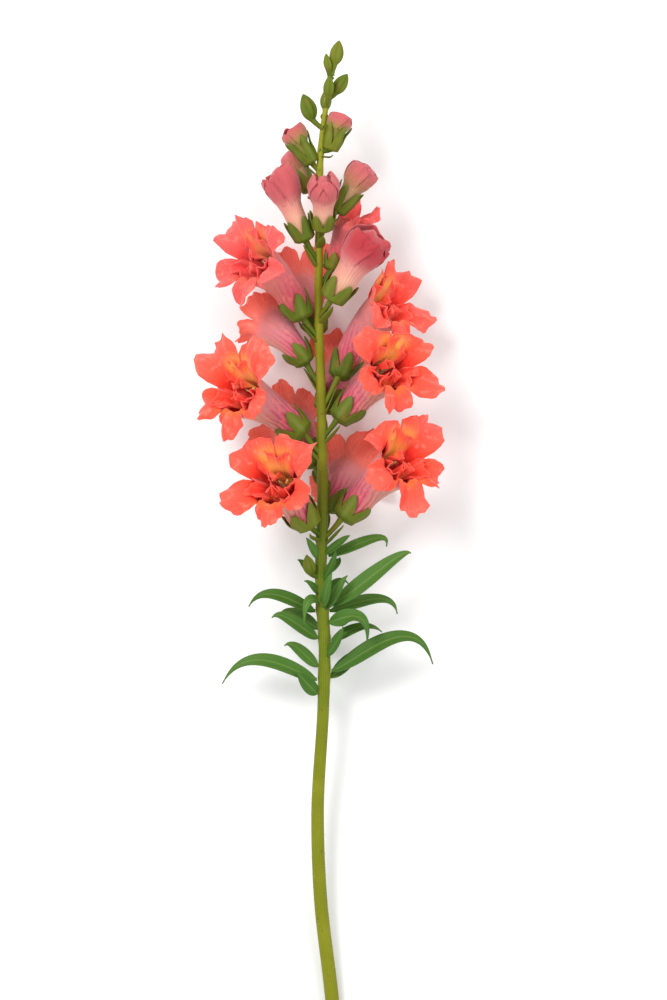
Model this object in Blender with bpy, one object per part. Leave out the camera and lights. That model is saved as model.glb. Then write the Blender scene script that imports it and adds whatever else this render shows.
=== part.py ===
"""A cut snapdragon stem lying on a flat surface, with its open flowers, buds and leaves.

Lengths are in millimetres and become metres when a mesh is made. X runs across the stem,
Y from the cut end to the tip, and Z up from the surface. The heights in the tables are
measured from the middle of the stalk.
"""

import math

import bmesh
import bpy
import numpy as np

MM = 0.001
SEED = 11
TIPWARDS = np.array([0.0, 1.0, 0.0])
BEND = 0.5

# The origin: the middle of the plant's box, on the surface that it lies on
ORIGIN = (-1.35, 225.58, 0.0)

# The stalk: distance along it, sideways place, height and radius
STALK = (
    (0, 6.3, 3.15, 3.15),
    (20, 4.4, 4.6, 3.1),
    (65, -0.7, 9.0, 3.0),
    (101, -2.0, 12.8, 2.9),
    (155, 0.7, 19.0, 2.7),
    (182, 1.1, 22.0, 2.7),
    (205, -0.4, 24.6, 2.7),
    (240, 0.2, 28.4, 2.5),
    (290, -0.3, 32.4, 2.1),
    (330, -1.5, 34.6, 1.9),
    (362, -1.3, 35.8, 1.7),
    (405, -0.2, 36.6, 1.4),
    (425, 2.3, 36.8, 1.15),
    (438, 4.5, 37.0, 1.0),
)
STALK_SIDES = 10
STALK_RINGS = 26
PEDICEL_SIDES = 5
LEAF_ROWS = 6
LEAFLET_ROWS = 4
BRACT_ROWS = 3

# Wall thicknesses, and the gaps that separate neighbours
PETAL = 0.8
SEPAL = 0.9
BLADE = 0.9
SEAT_GAP = 0.4
NEIGHBOUR_GAP = 1.4
LEAF_GAP = 0.75
CALYX_CLEAR = PETAL / 2 + SEAT_GAP + SEPAL / 2
CALYX_FLOOR = -CALYX_CLEAR - 0.15

# The space that each flower keeps to: half its thickness, how far its face reaches ahead of
# the mouth, the stalk's share, and how far a lobe may pass its edge before it is pushed back
FLOWER_GIRTH = 6.4
FACE_REACH = 9
BUD_MARGIN = 1.0
STALK_SHARE = 3.9
TRESPASS = 1.5
LONGEST_LOBE = 26
SHORTEST_LOBE = 3.5

# The corolla of a full-size flower
TUBE_PROFILE = ((0, 3.7), (0.12, 4.9), (0.35, 5.6), (0.7, 7.2), (1, 9.0))
TUBE_BULGE = 0.9
BULGE_PLACE = 0.15
TUBE_ROWS = (0, 0.4)
LIMB_ROWS = 4
COLUMNS_PER_LOBE = 4
MOUTH_FLARE = 18
REFERENCE_LOBE = 21
RUFFLE = 3.6
WAVES_PER_LOBE = 1.5
FLARED_BY = 0.7
PALATE_PLACE = 0.12
PALATE_SPAN = 0.16
LOBE_SPREAD = (0.82, 1.2)
LIMIT_ANGLES = 40
INNER_ANGLES = (-50, -17, 17, 50)
INNER_LOW = (0.75, 1.0, 1.0, 0.75)
INNER_FROM = 0.74
INNER_FLARE = 5.5
INNER_REACH = 7.5
STYLE_RADIUS = 0.65
STYLE_RISE = 2.0

# The calyx: how far its sepals reach on a flower, the notch between them, and its foot
SEPALS = 5
CALYX_REACH = 7.8
SEPAL_NOTCH = 0.35
CALYX_FOOT = 2.2
CALYX_RISE = 0.9
SEPAL_FLARE = 0.5

# Pedicels, bracts and blades
PEDICEL_RADII = (1.3, 1.15, 1.6)
PEDICEL_SAG = 1.2
PEDICEL_SINK = 1.5
BRACT_WIDTH = 4.0
BRACT_DROP = 4.2
BRACT_REACH = 0.78
BLADE_ROOT = 1.6
BLADE_TIP = 0.45
BLADE_FOLD = 0.28
LEAFLET_GAP = -1.5
LEAFLET_FACE = (0, 0.6, 1)

# A bud in colour: its sides, rings and shape, how far its lips lean apart, and how far its
# lower lip and its hood stand out
BUD_SIDES = 10
BUD_RINGS = (0, 0.2, 0.48, 0.7, 0.92, 1.0)
BUD_PROFILE = ((0, 0.6), (0.15, 0.72), (0.4, 0.78), (0.66, 1.0), (0.88, 0.84), (1, 0.26))
BUD_LEAN = 3.0
EGG_RINGS = (0.04, 0.5, 0.98)
LIP_FOLD = 0.5
HOOD_FOLD = 0.5

# Lobes of the mouth: first and last angle from its top, length, notch before it,
# flare of its rim in degrees, and how far its base humps inwards as the palate
LOBES = (
    (0, 80, 20.5, 8.5, 84, 0),
    (80, 146, 15.0, 3.0, 92, 26),
    (146, 214, 16.0, 5.5, 104, 62),
    (214, 280, 15.0, 5.5, 92, 26),
    (280, 360, 20.5, 3.0, 84, 0),
)

# Open flowers: node on the stalk, base of the tube, middle of the mouth, the way that
# the mouth faces, size and openness
BLOOMS = {
    "bloom_01": (341, (4.5, 350, -3), (12, 367, -3), (0.35, 0.85, 0.2), 0.78, 0.4),
    "bloom_02": (318, (-9, 328, 2), (-28, 350, 9), (-0.66, 0.3, 0.68), 1.08, 0.95),
    "bloom_03": (314, (-2, 322, -7), (-10, 339, -22), (-0.35, 0.45, -0.8), 0.95, 0.9),
    "bloom_04": (286, (8, 302, -2), (28, 330, -2), (0.6, 0.4, 0.5), 1.05, 1.0),
    "bloom_05": (296, (-8, 308, -3), (-23, 323, -11), (-0.6, 0.35, -0.5), 0.95, 1.0),
    "bloom_06": (265, (-9, 276, 2), (-35, 292, 8), (-0.64, 0.26, 0.72), 1.18, 1.0),
    "bloom_07": (273, (8, 282.5, 3), (30, 302, 11), (0.42, 0.25, 0.86), 1.1, 1.0),
    "bloom_08": (276, (1, 287, -8.5), (10, 302, -23), (0.3, 0.4, -0.85), 1.0, 1.0),
    "bloom_09": (229, (-5.5, 234, 7), (-20, 251, 18), (-0.4, 0.25, 0.87), 1.18, 1.0),
    "bloom_10": (227, (10, 238, 3), (34, 260, 9), (0.56, 0.33, 0.74), 1.15, 1.0),
    "bloom_11": (233, (3, 242, -7), (10, 255, -21), (0.3, 0.3, -0.9), 1.0, 1.0),
    "bloom_12": (254, (-4, 262, -7), (-12, 277, -20), (-0.4, 0.4, -0.8), 1.0, 1.0),
}

# Buds in colour: node on the stalk, base, tip, greatest radius, how far the lips part,
# and how much of the bud its sepals cover
BUDS = {
    "bud_01": (402, (4.4, 404, 2), (9.2, 417.5, 4), 4.4, 0.1, 0.72),
    "bud_02": (393, (-5.4, 398, 0), (-14.4, 411.5, 1), 4.6, 0.1, 0.72),
    "bud_03": (383, (-6.5, 386, -6), (-14, 400, -11), 4.2, 0.1, 0.5),
    "bud_04": (361, (0.4, 367.5, 8), (0.8, 389, 17), 6.0, 0.3, 0.3),
    "bud_05": (369, (7.4, 376, 2), (20.5, 394.4, 4), 5.6, 0.3, 0.5),
    "bud_06": (352, (-8, 363, 3), (-21, 393, 6), 6.2, 0.6, 0.28),
    "bud_07": (327, (5, 336, 8), (24, 364, 14), 8.0, 0.8, 0.28),
}

# Green buds at the tip: node on the stalk, base, tip and radius
TIP_BUDS = (
    (436, (5.5, 440, 0), (7.8, 451.5, 1), 3.3),
    (434, (3.4, 437, 1), (1.8, 445.5, 2), 2.0),
    (425, (5.6, 427, 0), (11.6, 436.5, -1), 3.3),
    (422, (2.8, 425, 4), (3.6, 435.5, 6), 2.6),
    (412, (-4.2, 415, 0), (-8.6, 427.5, 0), 3.9),
    (417, (1.5, 420, -4), (2.5, 430.5, -7), 2.8),
)

# Leaves: place on the stalk, crest, tip, width and the way that the face looks
LEAVES = {
    "leaf_01": (164, (-21.5, 171.5, 2), (-45, 162, -3), 8.0, (0, 0.8, 1)),
    "leaf_02": (168, (27, 180.5, 3), (50, 171, 1), 8.5, (0, 0.8, 1)),
    "leaf_03": (165, (12, 172, -7), (21, 174, -11), 6.5, (0, 0.8, 1)),
    "leaf_04": (195, (-17, 201, 2), (-33, 197, 0), 7.0, (0, 0.8, 1)),
    "leaf_05": (198, (23, 211, 5), (40, 221, 7), 8.0, (-0.5, 0.3, 1)),
    "leaf_06": (220, (19, 226, -3), (29, 224, -5), 5.5, (0, 0.8, 1)),
    "leaf_07": (195, (20, 199.5, -5), (34, 193.5, -9), 6.5, (0, 0.8, 1)),
    "leaf_08": (190, (14, 192.5, 10), (20, 179, 9), 7.5, (0.9, 0.3, 1)),
    "leaf_09": (183, (-12, 189.5, 6), (-22.5, 192, 7), 7.0, (0.2, 0.6, 1)),
    "leaf_10": (182, (14, 186.5, 3), (27, 185.5, 3), 5.5, (0, 0.8, 1)),
    "leaf_11": (170, (-9, 176, -6), (-17, 179, -10), 6.0, (0, 0.8, 1)),
    "leaf_12": (196, (5, 204, -12), (12, 207, -17), 7.0, (0.2, 0.9, 0.6)),
    "leaf_13": (187, (-10, 192, -10), (-19, 193, -13), 7.0, (-0.2, 0.9, 0.8)),
    "leaf_14": (158, (-6.5, 162, 4), (-11.5, 167.5, 6), 6.5, (-0.3, 0.5, 1)),
}

# Small leaves that grow fast to the stalk: place, crest, tip and width
LEAFLETS = (
    (196, (6, 203, 6), (11.5, 211, 8), 5.0),
    (197, (2, 204, 9), (4.5, 212, 12), 4.5),
    (199, (-5, 200, 6), (-8, 188, 8), 5.0),
    (203, (-4, 206, 4), (-8, 208.5, 6), 3.5),
    (219, (-4, 223, 4), (-7, 228, 5), 4.0),
    (221, (7, 225, 3), (12.5, 229, 4), 4.0),
    (209, (4, 215, 5), (6, 222, 7), 3.5),
    (210, (-6, 214, -4), (-11, 218, -6), 4.5),
    (175, (6, 180, 6), (9.5, 188, 8), 4.5),
    (212, (5, 215, -6), (8, 219, -10), 4.5),
)

# The small round pod low on the stalk: place, base, tip and radius
POD = (210, (-4.6, 211, 3), (-7, 220.5, 5), 3.0)

# After a union, points closer than this are welded and flatter edges than this dissolved
WELD = 0.001
FLATTEN = 3.0

# The surface: petals that would pass it are pressed flat on it
PRESS = 1.2
SNAP = 0.3

COLOURS = {
    "stem_green": (0.23, 0.30, 0.03),
    "leaf_green": (0.08, 0.19, 0.02),
    "petal_coral": (0.95, 0.17, 0.10),
    "bud_pink": (0.66, 0.16, 0.14),
}


def unit(vector):
    """The vector at length one; rows are treated one by one."""
    return vector / np.linalg.norm(vector, axis=-1, keepdims=True)


def smooth_through(where, knots, values):
    """A smooth curve through the values at the knots."""
    knots = np.asarray(knots, float)
    values = np.asarray(values, float)
    slopes = np.gradient(values, knots)
    i = np.clip(np.searchsorted(knots, where) - 1, 0, len(knots) - 2)
    span = knots[i + 1] - knots[i]
    t = np.clip((where - knots[i]) / span, 0, 1)
    from_first = (1 + 2 * t) * (1 - t) ** 2 * values[i] + t * (1 - t) ** 2 * span * slopes[i]
    from_last = t * t * (3 - 2 * t) * values[i + 1] + t * t * (t - 1) * span * slopes[i + 1]
    return from_first + from_last


def stalk_point(along):
    """The middle of the stalk at a distance along it."""
    along = np.asarray(along, float)
    knots, sideways, height, _ = zip(*STALK)
    across = smooth_through(along, knots, sideways)
    up = smooth_through(along, knots, height)
    return np.stack([across, along, up], axis=-1)


def stalk_radius(along):
    """The stalk's radius at a distance along it."""
    return smooth_through(along, [row[0] for row in STALK], [row[3] for row in STALK])


def place(point):
    """A point of the tables, with its height measured from the middle of the stalk."""
    across, along, above = point
    return np.array([across, along, stalk_point(along)[2] + above])


class Frame:
    """A flower's own frame: along its tube, up towards the tip of the stem, and sideways.

    A tube can bend, from its first direction to the way that its mouth faces.
    """

    def __init__(self, base, end, faces=None):
        self.base = place(base)
        self.end = place(end)
        span = self.end - self.base
        self.faces = unit(span if faces is None else np.asarray(faces, float))
        self.control = self.end - self.faces * BEND * np.linalg.norm(span)
        self.axis = unit(self.control - self.base)
        self.length = 1.0
        middle, _ = self.spine(np.linspace(0, 1, 33))
        self.length = np.linalg.norm(np.diff(middle, axis=0), axis=1).sum()

    def spine(self, forward):
        """The tube's middle line and its direction, at places along it and past its ends."""
        share = np.clip(forward / self.length, 0, 1)[..., None]
        left = 1 - share
        middle = left ** 2 * self.base + 2 * share * left * self.control + share ** 2 * self.end
        along = unit(left * (self.control - self.base) + share * (self.end - self.control))
        return middle + along * (np.asarray(forward)[..., None] - share * self.length), along

    def at(self, angle, radius, forward):
        """A point by its angle from the top, distance from the axis and place along it."""
        middle, along = self.spine(np.asarray(forward, float))
        up = unit(TIPWARDS - along * along[..., 1:2])
        angle = np.asarray(angle, float)[..., None]
        radial = np.cos(angle) * up + np.sin(angle) * np.cross(along, up)
        return middle + radial * np.asarray(radius, float)[..., None]


def tube_radius(angle, share, size):
    """Radius of a corolla's tube, which bulges below at its base."""
    knots, radii = zip(*TUBE_PROFILE)
    radius = smooth_through(share, knots, radii)
    below = np.clip(-np.cos(angle), 0, 1)
    bulge = TUBE_BULGE * below * np.exp(-((share - BULGE_PLACE) / BULGE_PLACE) ** 2)
    return (radius + bulge) * size


def distance_to_path(points, path):
    """Distance from each point to a path, and the nearest point of the path."""
    best = np.full(points.shape[:-1], np.inf)
    nearest = np.zeros_like(points)
    for start, end in zip(path[:-1], path[1:]):
        run = end - start
        t = np.clip(((points - start) @ run) / (run @ run), 0, 1)
        foot = start + t[..., None] * run
        distance = np.linalg.norm(points - foot, axis=-1)
        closer = distance < best
        best = np.where(closer, distance, best)
        nearest = np.where(closer[..., None], foot, nearest)
    return best, nearest


def flower_paths():
    """The line that each flower and bud grows along, with its thickness."""
    paths = {}
    for name, (node, base, mouth, faces, size, _) in BLOOMS.items():
        frame = Frame(base, mouth, faces)
        middle, _ = frame.spine(frame.length * np.array((0.0, 0.35, 0.7, 1.0)))
        ahead = frame.end + frame.faces * FACE_REACH * size
        paths[name] = (np.vstack([stalk_point(node), middle, ahead]), FLOWER_GIRTH * size)
    for name, (node, base, tip, radius, *_) in BUDS.items():
        frame = Frame(base, tip)
        path = np.array([stalk_point(node), frame.base, frame.end])
        paths[name] = (path, radius + BUD_MARGIN)
    return paths


def stalk_path():
    """The stalk as a path."""
    return stalk_point(np.linspace(STALK[0][0], STALK[-1][0], 40))


def room(points, own, paths):
    """How far each point of a flower is from its neighbours' share of the space."""
    own_distance, own_foot = distance_to_path(points, paths[own][0])
    stalk_distance, stalk_foot = distance_to_path(points, stalk_path())
    least = stalk_distance - STALK_SHARE
    away = unit(points - stalk_foot)
    for name, (path, radius) in paths.items():
        if name == own:
            continue
        distance, foot = distance_to_path(points, path)
        gradient = unit(points - foot) - unit(points - own_foot + 1e-9)
        steep = np.maximum(np.linalg.norm(gradient, axis=-1), 0.3)
        for free, way in (
            ((distance - own_distance - NEIGHBOUR_GAP) / steep, gradient / steep[..., None]),
            (distance - radius - NEIGHBOUR_GAP, unit(points - foot)),
        ):
            closer = free < least
            least = np.where(closer, free, least)
            away = np.where(closer[..., None], way, away)
    return least, away


def ease_apart(points, own, paths):
    """Move points that come too near a neighbour back into their own space."""
    for _ in range(4):
        least, away = room(points, own, paths)
        points = points + away * np.clip(-least, 0, 3)[..., None]
    return points


def press_down(points, half):
    """Press a sheet's middle surface softly on the surface below."""
    above = points[..., 2] - half
    pressed = PRESS * np.exp(np.minimum(above - PRESS, 0) / PRESS)
    points = points.copy()
    points[..., 2] = np.where(above < PRESS, pressed, above) + half
    return points


def lobe_columns(per_lobe):
    """Angle, lobe number and share across the lobe for each column round the mouth."""
    columns = []
    for number, (first, last, *_) in enumerate(LOBES):
        for k in range(per_lobe):
            share = k / per_lobe
            columns.append((math.radians(first + share * (last - first)), number, share))
    return columns


def lobe_length(number, share):
    """Length of the limb at a share across one lobe."""
    _, _, length, notch, _, _ = LOBES[number]
    next_notch = LOBES[(number + 1) % len(LOBES)][3]
    low = notch + (next_notch - notch) * share
    return low + (length - low) * math.sin(math.pi * share) ** 0.6


def limb_profile(angle, number, arc, size, openness):
    """Radius, forward place and slope of the limb at arc lengths from the mouth."""
    _, _, length, _, flare, hump = LOBES[number]
    share = arc / (length * size)
    rise = np.clip(share / FLARED_BY, 0, 1)
    turn = MOUTH_FLARE + (flare * openness - MOUTH_FLARE) * rise * rise * (3 - 2 * rise)
    turn = np.radians(turn - hump * np.exp(-((share - PALATE_PLACE) / PALATE_SPAN) ** 2))
    step = np.diff(arc, prepend=arc[0])
    radius = tube_radius(angle, 1.0, size) + np.cumsum(np.sin(turn) * step)
    return radius, np.cumsum(np.cos(turn) * step), turn


def ruffle(number, share, reach, phases):
    """Wave of the rim across one lobe, growing with the distance from the mouth."""
    edge = min(1.0, 2.2 * math.sin(math.pi * share))
    turn = 2 * math.pi * (WAVES_PER_LOBE * share + phases[number])
    return RUFFLE * edge * reach ** 1.4 * math.sin(turn)


def length_limits(own, paths):
    """Longest limb in each direction that stays in the flower's own space."""
    _, base, mouth, faces, size, openness = BLOOMS[own]
    frame = Frame(base, mouth, faces)
    arc = np.linspace(0, LONGEST_LOBE * size, 40)
    limits = []
    for angle, number, _ in lobe_columns(LIMIT_ANGLES // len(LOBES)):
        radius, forward, _ = limb_profile(angle, number, arc, size, openness)
        least, _ = room(frame.at(angle, radius, frame.length + forward), own, paths)
        tight = np.nonzero(least < -TRESPASS)[0]
        limits.append(arc[tight[0]] if len(tight) else arc[-1])
    limits = np.array(limits)
    low = np.minimum(limits, np.minimum(np.roll(limits, 1), np.roll(limits, -1)))
    smooth = (np.roll(low, 1) + 2 * low + np.roll(low, -1)) / 4
    return np.maximum(smooth, SHORTEST_LOBE * size)


def corolla_sheet(own, paths, phases, sizes):
    """Middle surface of a corolla: rows from the base of the tube to the rim."""
    _, base, mouth, faces, size, openness = BLOOMS[own]
    frame = Frame(base, mouth, faces)
    limits = length_limits(own, paths)
    known = [column[0] for column in lobe_columns(LIMIT_ANGLES // len(LOBES))]
    columns = []
    for angle, number, share in lobe_columns(COLUMNS_PER_LOBE):
        rows = [(tube_radius(angle, s, size), frame.length * s) for s in TUBE_ROWS]
        limit = np.interp(angle, known, limits, period=2 * math.pi)
        grown = 1 + (sizes[number] - 1) * math.sin(math.pi * share)
        length = min(lobe_length(number, share) * grown * size, limit)
        arc = np.linspace(0, length, 6 * LIMB_ROWS + 1)
        radius, forward, turn = limb_profile(angle, number, arc, size, openness)
        for k in range(0, len(arc), 6):
            wave = ruffle(number, share, arc[k] / (REFERENCE_LOBE * size), phases) * size
            out = radius[k] + wave * math.cos(turn[k])
            ahead = frame.length + forward[k] - wave * math.sin(turn[k])
            rows.append((out, ahead))
        columns.append([frame.at(angle, out, ahead) for out, ahead in rows])
    sheet = np.array(columns).transpose(1, 0, 2)
    limb = len(TUBE_ROWS) + 1
    sheet[limb:] = ease_apart(sheet[limb:], own, paths)
    return press_down(sheet, PETAL / 2)


def sheet_normals(sheet, closed):
    """Unit normals of a grid of points; a closed grid wraps round its columns."""
    down = np.gradient(sheet, axis=0)
    if closed:
        across = (np.roll(sheet, -1, axis=1) - np.roll(sheet, 1, axis=1)) / 2
    else:
        across = np.gradient(sheet, axis=1)
    return unit(np.cross(across, down))


def band(first, second, closed):
    """Two triangles between each pair of neighbours on two rows of vertex numbers."""
    last = len(first) if closed else len(first) - 1
    for j in range(last):
        k = (j + 1) % len(first)
        yield first[j], first[k], second[k]
        yield first[j], second[k], second[j]


def cup_solid(sheet, thickness):
    """A cup of even thickness: closed round, shut at its first row, open at its last."""
    normals = sheet_normals(sheet, True)
    rows, columns, _ = sheet.shape
    outside = sheet + normals * thickness / 2
    inside = sheet - normals * thickness / 2
    middle = sheet[0].mean(axis=0)
    back = unit(middle - sheet[1].mean(axis=0))
    points = np.concatenate([
        outside.reshape(-1, 3),
        inside.reshape(-1, 3),
        [middle + back * thickness / 2, middle - back * thickness / 2],
    ])
    outer = np.arange(rows * columns).reshape(rows, columns)
    inner = outer + rows * columns
    faces = []
    for i in range(rows - 1):
        faces += band(outer[i], outer[i + 1], True)
        faces += [face[::-1] for face in band(inner[i], inner[i + 1], True)]
    faces += band(outer[-1], inner[-1], True)
    poles = (2 * rows * columns, 2 * rows * columns + 1)
    for j in range(columns):
        k = (j + 1) % columns
        faces.append((outer[0][k], outer[0][j], poles[0]))
        faces.append((inner[0][j], inner[0][k], poles[1]))
    return points, faces


def slab_solid(sheet, thickness):
    """A blade of even thickness over an open grid of points."""
    normals = sheet_normals(sheet, False)
    rows, columns, _ = sheet.shape
    points = np.concatenate([
        (sheet + normals * thickness / 2).reshape(-1, 3),
        (sheet - normals * thickness / 2).reshape(-1, 3),
    ])
    front = np.arange(rows * columns).reshape(rows, columns)
    back = front + rows * columns
    faces = []
    for i in range(rows - 1):
        faces += band(front[i], front[i + 1], False)
        faces += [face[::-1] for face in band(back[i], back[i + 1], False)]
    faces += band(front[-1], back[-1], False)
    faces += band(back[0], front[0], False)
    faces += band(back[:, 0][::-1], front[:, 0][::-1], False)
    faces += band(back[:, -1], front[:, -1], False)
    return points, faces


def tube_solid(path, radii, sides):
    """A round rod along a path, with flat ends."""
    path = np.asarray(path, float)
    tangents = unit(np.gradient(path, axis=0))
    guide = np.array([0.0, 0.0, 1.0]) if abs(tangents[0][2]) < 0.8 else np.array([1.0, 0.0, 0.0])
    side = unit(np.cross(tangents, guide))
    other = np.cross(side, tangents)
    turn = np.linspace(0, 2 * math.pi, sides, endpoint=False)
    rings = []
    for centre, radius, u, v in zip(path, radii, side, other):
        rings.append([centre + radius * (math.cos(a) * u + math.sin(a) * v) for a in turn])
    return lathe_solid(np.array(rings))


def lathe_solid(rings):
    """A solid through closed rings, shut by a point in the middle of each end."""
    rows, columns, _ = rings.shape
    ends = [rings[0].mean(axis=0), rings[-1].mean(axis=0)]
    points = np.concatenate([rings.reshape(-1, 3), ends])
    numbers = np.arange(rows * columns).reshape(rows, columns)
    faces = []
    for i in range(rows - 1):
        faces += band(numbers[i], numbers[i + 1], True)
    for j in range(columns):
        k = (j + 1) % columns
        faces.append((numbers[0][k], numbers[0][j], rows * columns))
        faces.append((numbers[-1][j], numbers[-1][k], rows * columns + 1))
    return points, faces


def calyx_solid(frame, radius_at, length):
    """Five pointed sepals that cup the base of a flower."""
    columns = np.arange(2 * SEPALS)
    angles = 2 * math.pi * columns / len(columns)
    flats = math.cos(math.pi / len(columns))
    rim = np.where(columns % 2 == 0, length, length * SEPAL_NOTCH)
    foot = np.full(len(columns), CALYX_FLOOR)
    rows = [frame.at(angles, np.full(len(columns), CALYX_FOOT), foot)]
    for forward, flare in ((foot + CALYX_RISE, 0), (rim, SEPAL_FLARE)):
        wide = (radius_at(angles, np.clip(forward, 0, None)) + CALYX_CLEAR) / flats + flare
        rows.append(frame.at(angles, wide, forward))
    return cup_solid(press_down(np.array(rows), SEPAL / 2), SEPAL)


def blade_solid(root, out, crest, tip, width, facing, rows=LEAF_ROWS):
    """A pointed blade, folded a little along its midrib, that leaves its root outwards."""
    share = np.linspace(0, 1, rows)[:, None]
    first = root + out * np.linalg.norm(crest - root) * 0.3
    second = (8 * crest - root - tip - 3 * first) / 3
    left = 1 - share
    spine = left ** 3 * root + 3 * left ** 2 * share * first
    spine = spine + 3 * left * share ** 2 * second + share ** 3 * tip
    tangents = unit(np.gradient(spine, axis=0))
    side = unit(np.cross(tangents, unit(np.asarray(facing, float))))
    face = np.cross(side, tangents)
    half = width / 2 * np.sin(math.pi * share ** 0.8) ** 1.05
    half = np.maximum(half, BLADE_ROOT / 2 * left + BLADE_TIP * share)
    lift = BLADE_FOLD * half
    edges = (spine - side * half + face * lift, spine, spine + side * half + face * lift)
    return slab_solid(np.stack(edges, axis=1), BLADE)


def egg_solid(frame, radius):
    """A green bud: five closed sepals that meet in ridges over an egg."""
    angles = np.linspace(0, 2 * math.pi, 10, endpoint=False)
    ridge = np.where(np.arange(10) % 2 == 0, 1.0, 0.8)
    rings = []
    for share in EGG_RINGS:
        wide = radius * math.sin(math.pi * share ** 0.85) ** 0.7 * ridge
        forward = frame.length * (share + 0.12 * share * (ridge - 0.9))
        rings.append(frame.at(angles, np.maximum(wide, 0.6), forward))
    return lathe_solid(np.array(rings))


def bud_radius(angle, share, radius):
    """Radius of a coloured bud: a narrow tube, then the closed lips with a groove between."""
    knots, widths = zip(*BUD_PROFILE)
    wide = smooth_through(share, knots, np.array(widths) * radius)
    groove = np.exp(-((np.cos(angle) + 0.15) / 0.25) ** 2) * np.clip(share - 0.5, 0, 1) * 0.5
    return wide * (1 - groove)


def bud_solid(spec):
    """A coloured bud with its upper lip folded over the lower one."""
    _, base, tip, radius, parting, _ = spec
    frame = Frame(base, tip)
    angles = np.linspace(0, 2 * math.pi, BUD_SIDES, endpoint=False)
    upper = np.clip(np.cos(angles) + 0.6, 0, 1)
    fold = (LIP_FOLD + HOOD_FOLD * upper) * (1 + parting)
    rings = []
    for share in BUD_RINGS:
        lean = np.cos(angles) * parting * BUD_LEAN * max(share - 0.6, 0)
        forward = frame.length * share + lean
        wide = bud_radius(angles, share, radius) + fold * min(max(share - 0.45, 0) / 0.3, 1)
        rings.append(frame.at(angles, wide, forward))
    return lathe_solid(np.array(rings))


def mesh_object(name, solid, colour):
    """An object from points in millimetres and triangles."""
    points, faces = solid
    points = points.copy()
    points[:, 2] = np.where(points[:, 2] < SNAP, np.clip(points[:, 2], None, 0), points[:, 2])
    points[:, 2] = np.clip(points[:, 2], 0, None)
    mesh = bpy.data.meshes.new(name)
    points = (points - ORIGIN) * MM
    mesh.from_pydata(points.tolist(), [], [tuple(int(i) for i in face) for face in faces])
    shape = bmesh.new()
    shape.from_mesh(mesh)
    bmesh.ops.recalc_face_normals(shape, faces=shape.faces)
    shape.to_mesh(mesh)
    shape.free()
    item = bpy.data.objects.new(name, mesh)
    item.data.materials.append(material(colour))
    bpy.context.scene.collection.objects.link(item)
    return item


def material(name):
    """The plain material of one kind of tissue."""
    made = bpy.data.materials.get(name)
    if made is None:
        made = bpy.data.materials.new(name)
        made.use_nodes = True
        shader = made.node_tree.nodes["Principled BSDF"]
        shader.inputs["Base Color"].default_value = (*COLOURS[name], 1)
        shader.inputs["Roughness"].default_value = 0.5
        shader.inputs["Metallic"].default_value = 0.0
    return made


def fuse(body, solids, colour, solver="EXACT"):
    """Join solids to a body with one union, apply it, and drop what it was made from."""
    group = bpy.data.collections.new(body.name + "_joined")
    bpy.context.scene.collection.children.link(group)
    for number, solid in enumerate(solids):
        item = mesh_object(f"{body.name}_{number:02d}", solid, colour)
        bpy.context.scene.collection.objects.unlink(item)
        group.objects.link(item)
    union = body.modifiers.new("union", "BOOLEAN")
    union.operation = "UNION"
    union.operand_type = "COLLECTION"
    union.collection = group
    union.solver = solver
    bpy.context.view_layer.update()
    graph = bpy.context.evaluated_depsgraph_get()
    joined = bpy.data.meshes.new_from_object(body.evaluated_get(graph))
    body.modifiers.clear()
    body.data = joined
    for item in list(group.objects):
        bpy.data.objects.remove(item)
    bpy.data.collections.remove(group)
    tidy_mesh(joined)


def scraps(shape):
    """The points of a mesh outside its largest piece: loose scraps and sealed hollows."""
    left = set(shape.verts)
    pieces = []
    while left:
        waiting = [left.pop()]
        piece = []
        while waiting:
            point = waiting.pop()
            piece.append(point)
            for edge in point.link_edges:
                other = edge.other_vert(point)
                if other in left:
                    left.remove(other)
                    waiting.append(other)
        pieces.append(piece)
    pieces.sort(key=len)
    return [point for piece in pieces[:-1] for point in piece]


def tidy_mesh(mesh):
    """Weld the points that a union leaves on top of each other, and cut to triangles."""
    shape = bmesh.new()
    shape.from_mesh(mesh)
    bmesh.ops.remove_doubles(shape, verts=shape.verts, dist=WELD * MM)
    bmesh.ops.dissolve_degenerate(shape, edges=shape.edges, dist=WELD * MM)
    bmesh.ops.dissolve_limit(
        shape, angle_limit=math.radians(FLATTEN), verts=shape.verts, edges=shape.edges
    )
    bare = [edge for edge in shape.edges if not edge.link_faces]
    bmesh.ops.delete(shape, geom=bare, context="EDGES")
    bmesh.ops.delete(shape, geom=scraps(shape), context="VERTS")
    bmesh.ops.triangulate(shape, faces=shape.faces)
    shape.to_mesh(mesh)
    shape.free()


def pedicel_solid(node, frame, sink):
    """The short stalk from the stem to a little past the base of a flower."""
    start = stalk_point(node)
    end = frame.base + frame.axis * sink
    control = (start + end) / 2 - TIPWARDS * PEDICEL_SAG
    share = np.linspace(0, 1, 3)[:, None]
    path = (1 - share) ** 2 * start + 2 * share * (1 - share) * control + share ** 2 * end
    return tube_solid(path, PEDICEL_RADII, PEDICEL_SIDES)


def bract_solid(node, frame):
    """The small pointed leaf under a pedicel, which stays below the calyx."""
    start = stalk_point(node)
    reach = frame.base - start
    along = unit(reach)
    below = along * along[1] - TIPWARDS
    out = unit(reach * np.array([1, 0, 1]))
    root = stalk_point(node - 3) + out * 0.5
    tip = start + reach * BRACT_REACH + below * BRACT_DROP
    crest = (root + tip) / 2 + below * 1.0
    return blade_solid(root, out, crest, tip, BRACT_WIDTH, along - below, BRACT_ROWS)


def stalk_solid():
    """The main stalk from its plain cut end to the growing tip."""
    along = np.linspace(STALK[0][0], STALK[-1][0], STALK_RINGS)
    return tube_solid(stalk_point(along), stalk_radius(along), STALK_SIDES)


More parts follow.
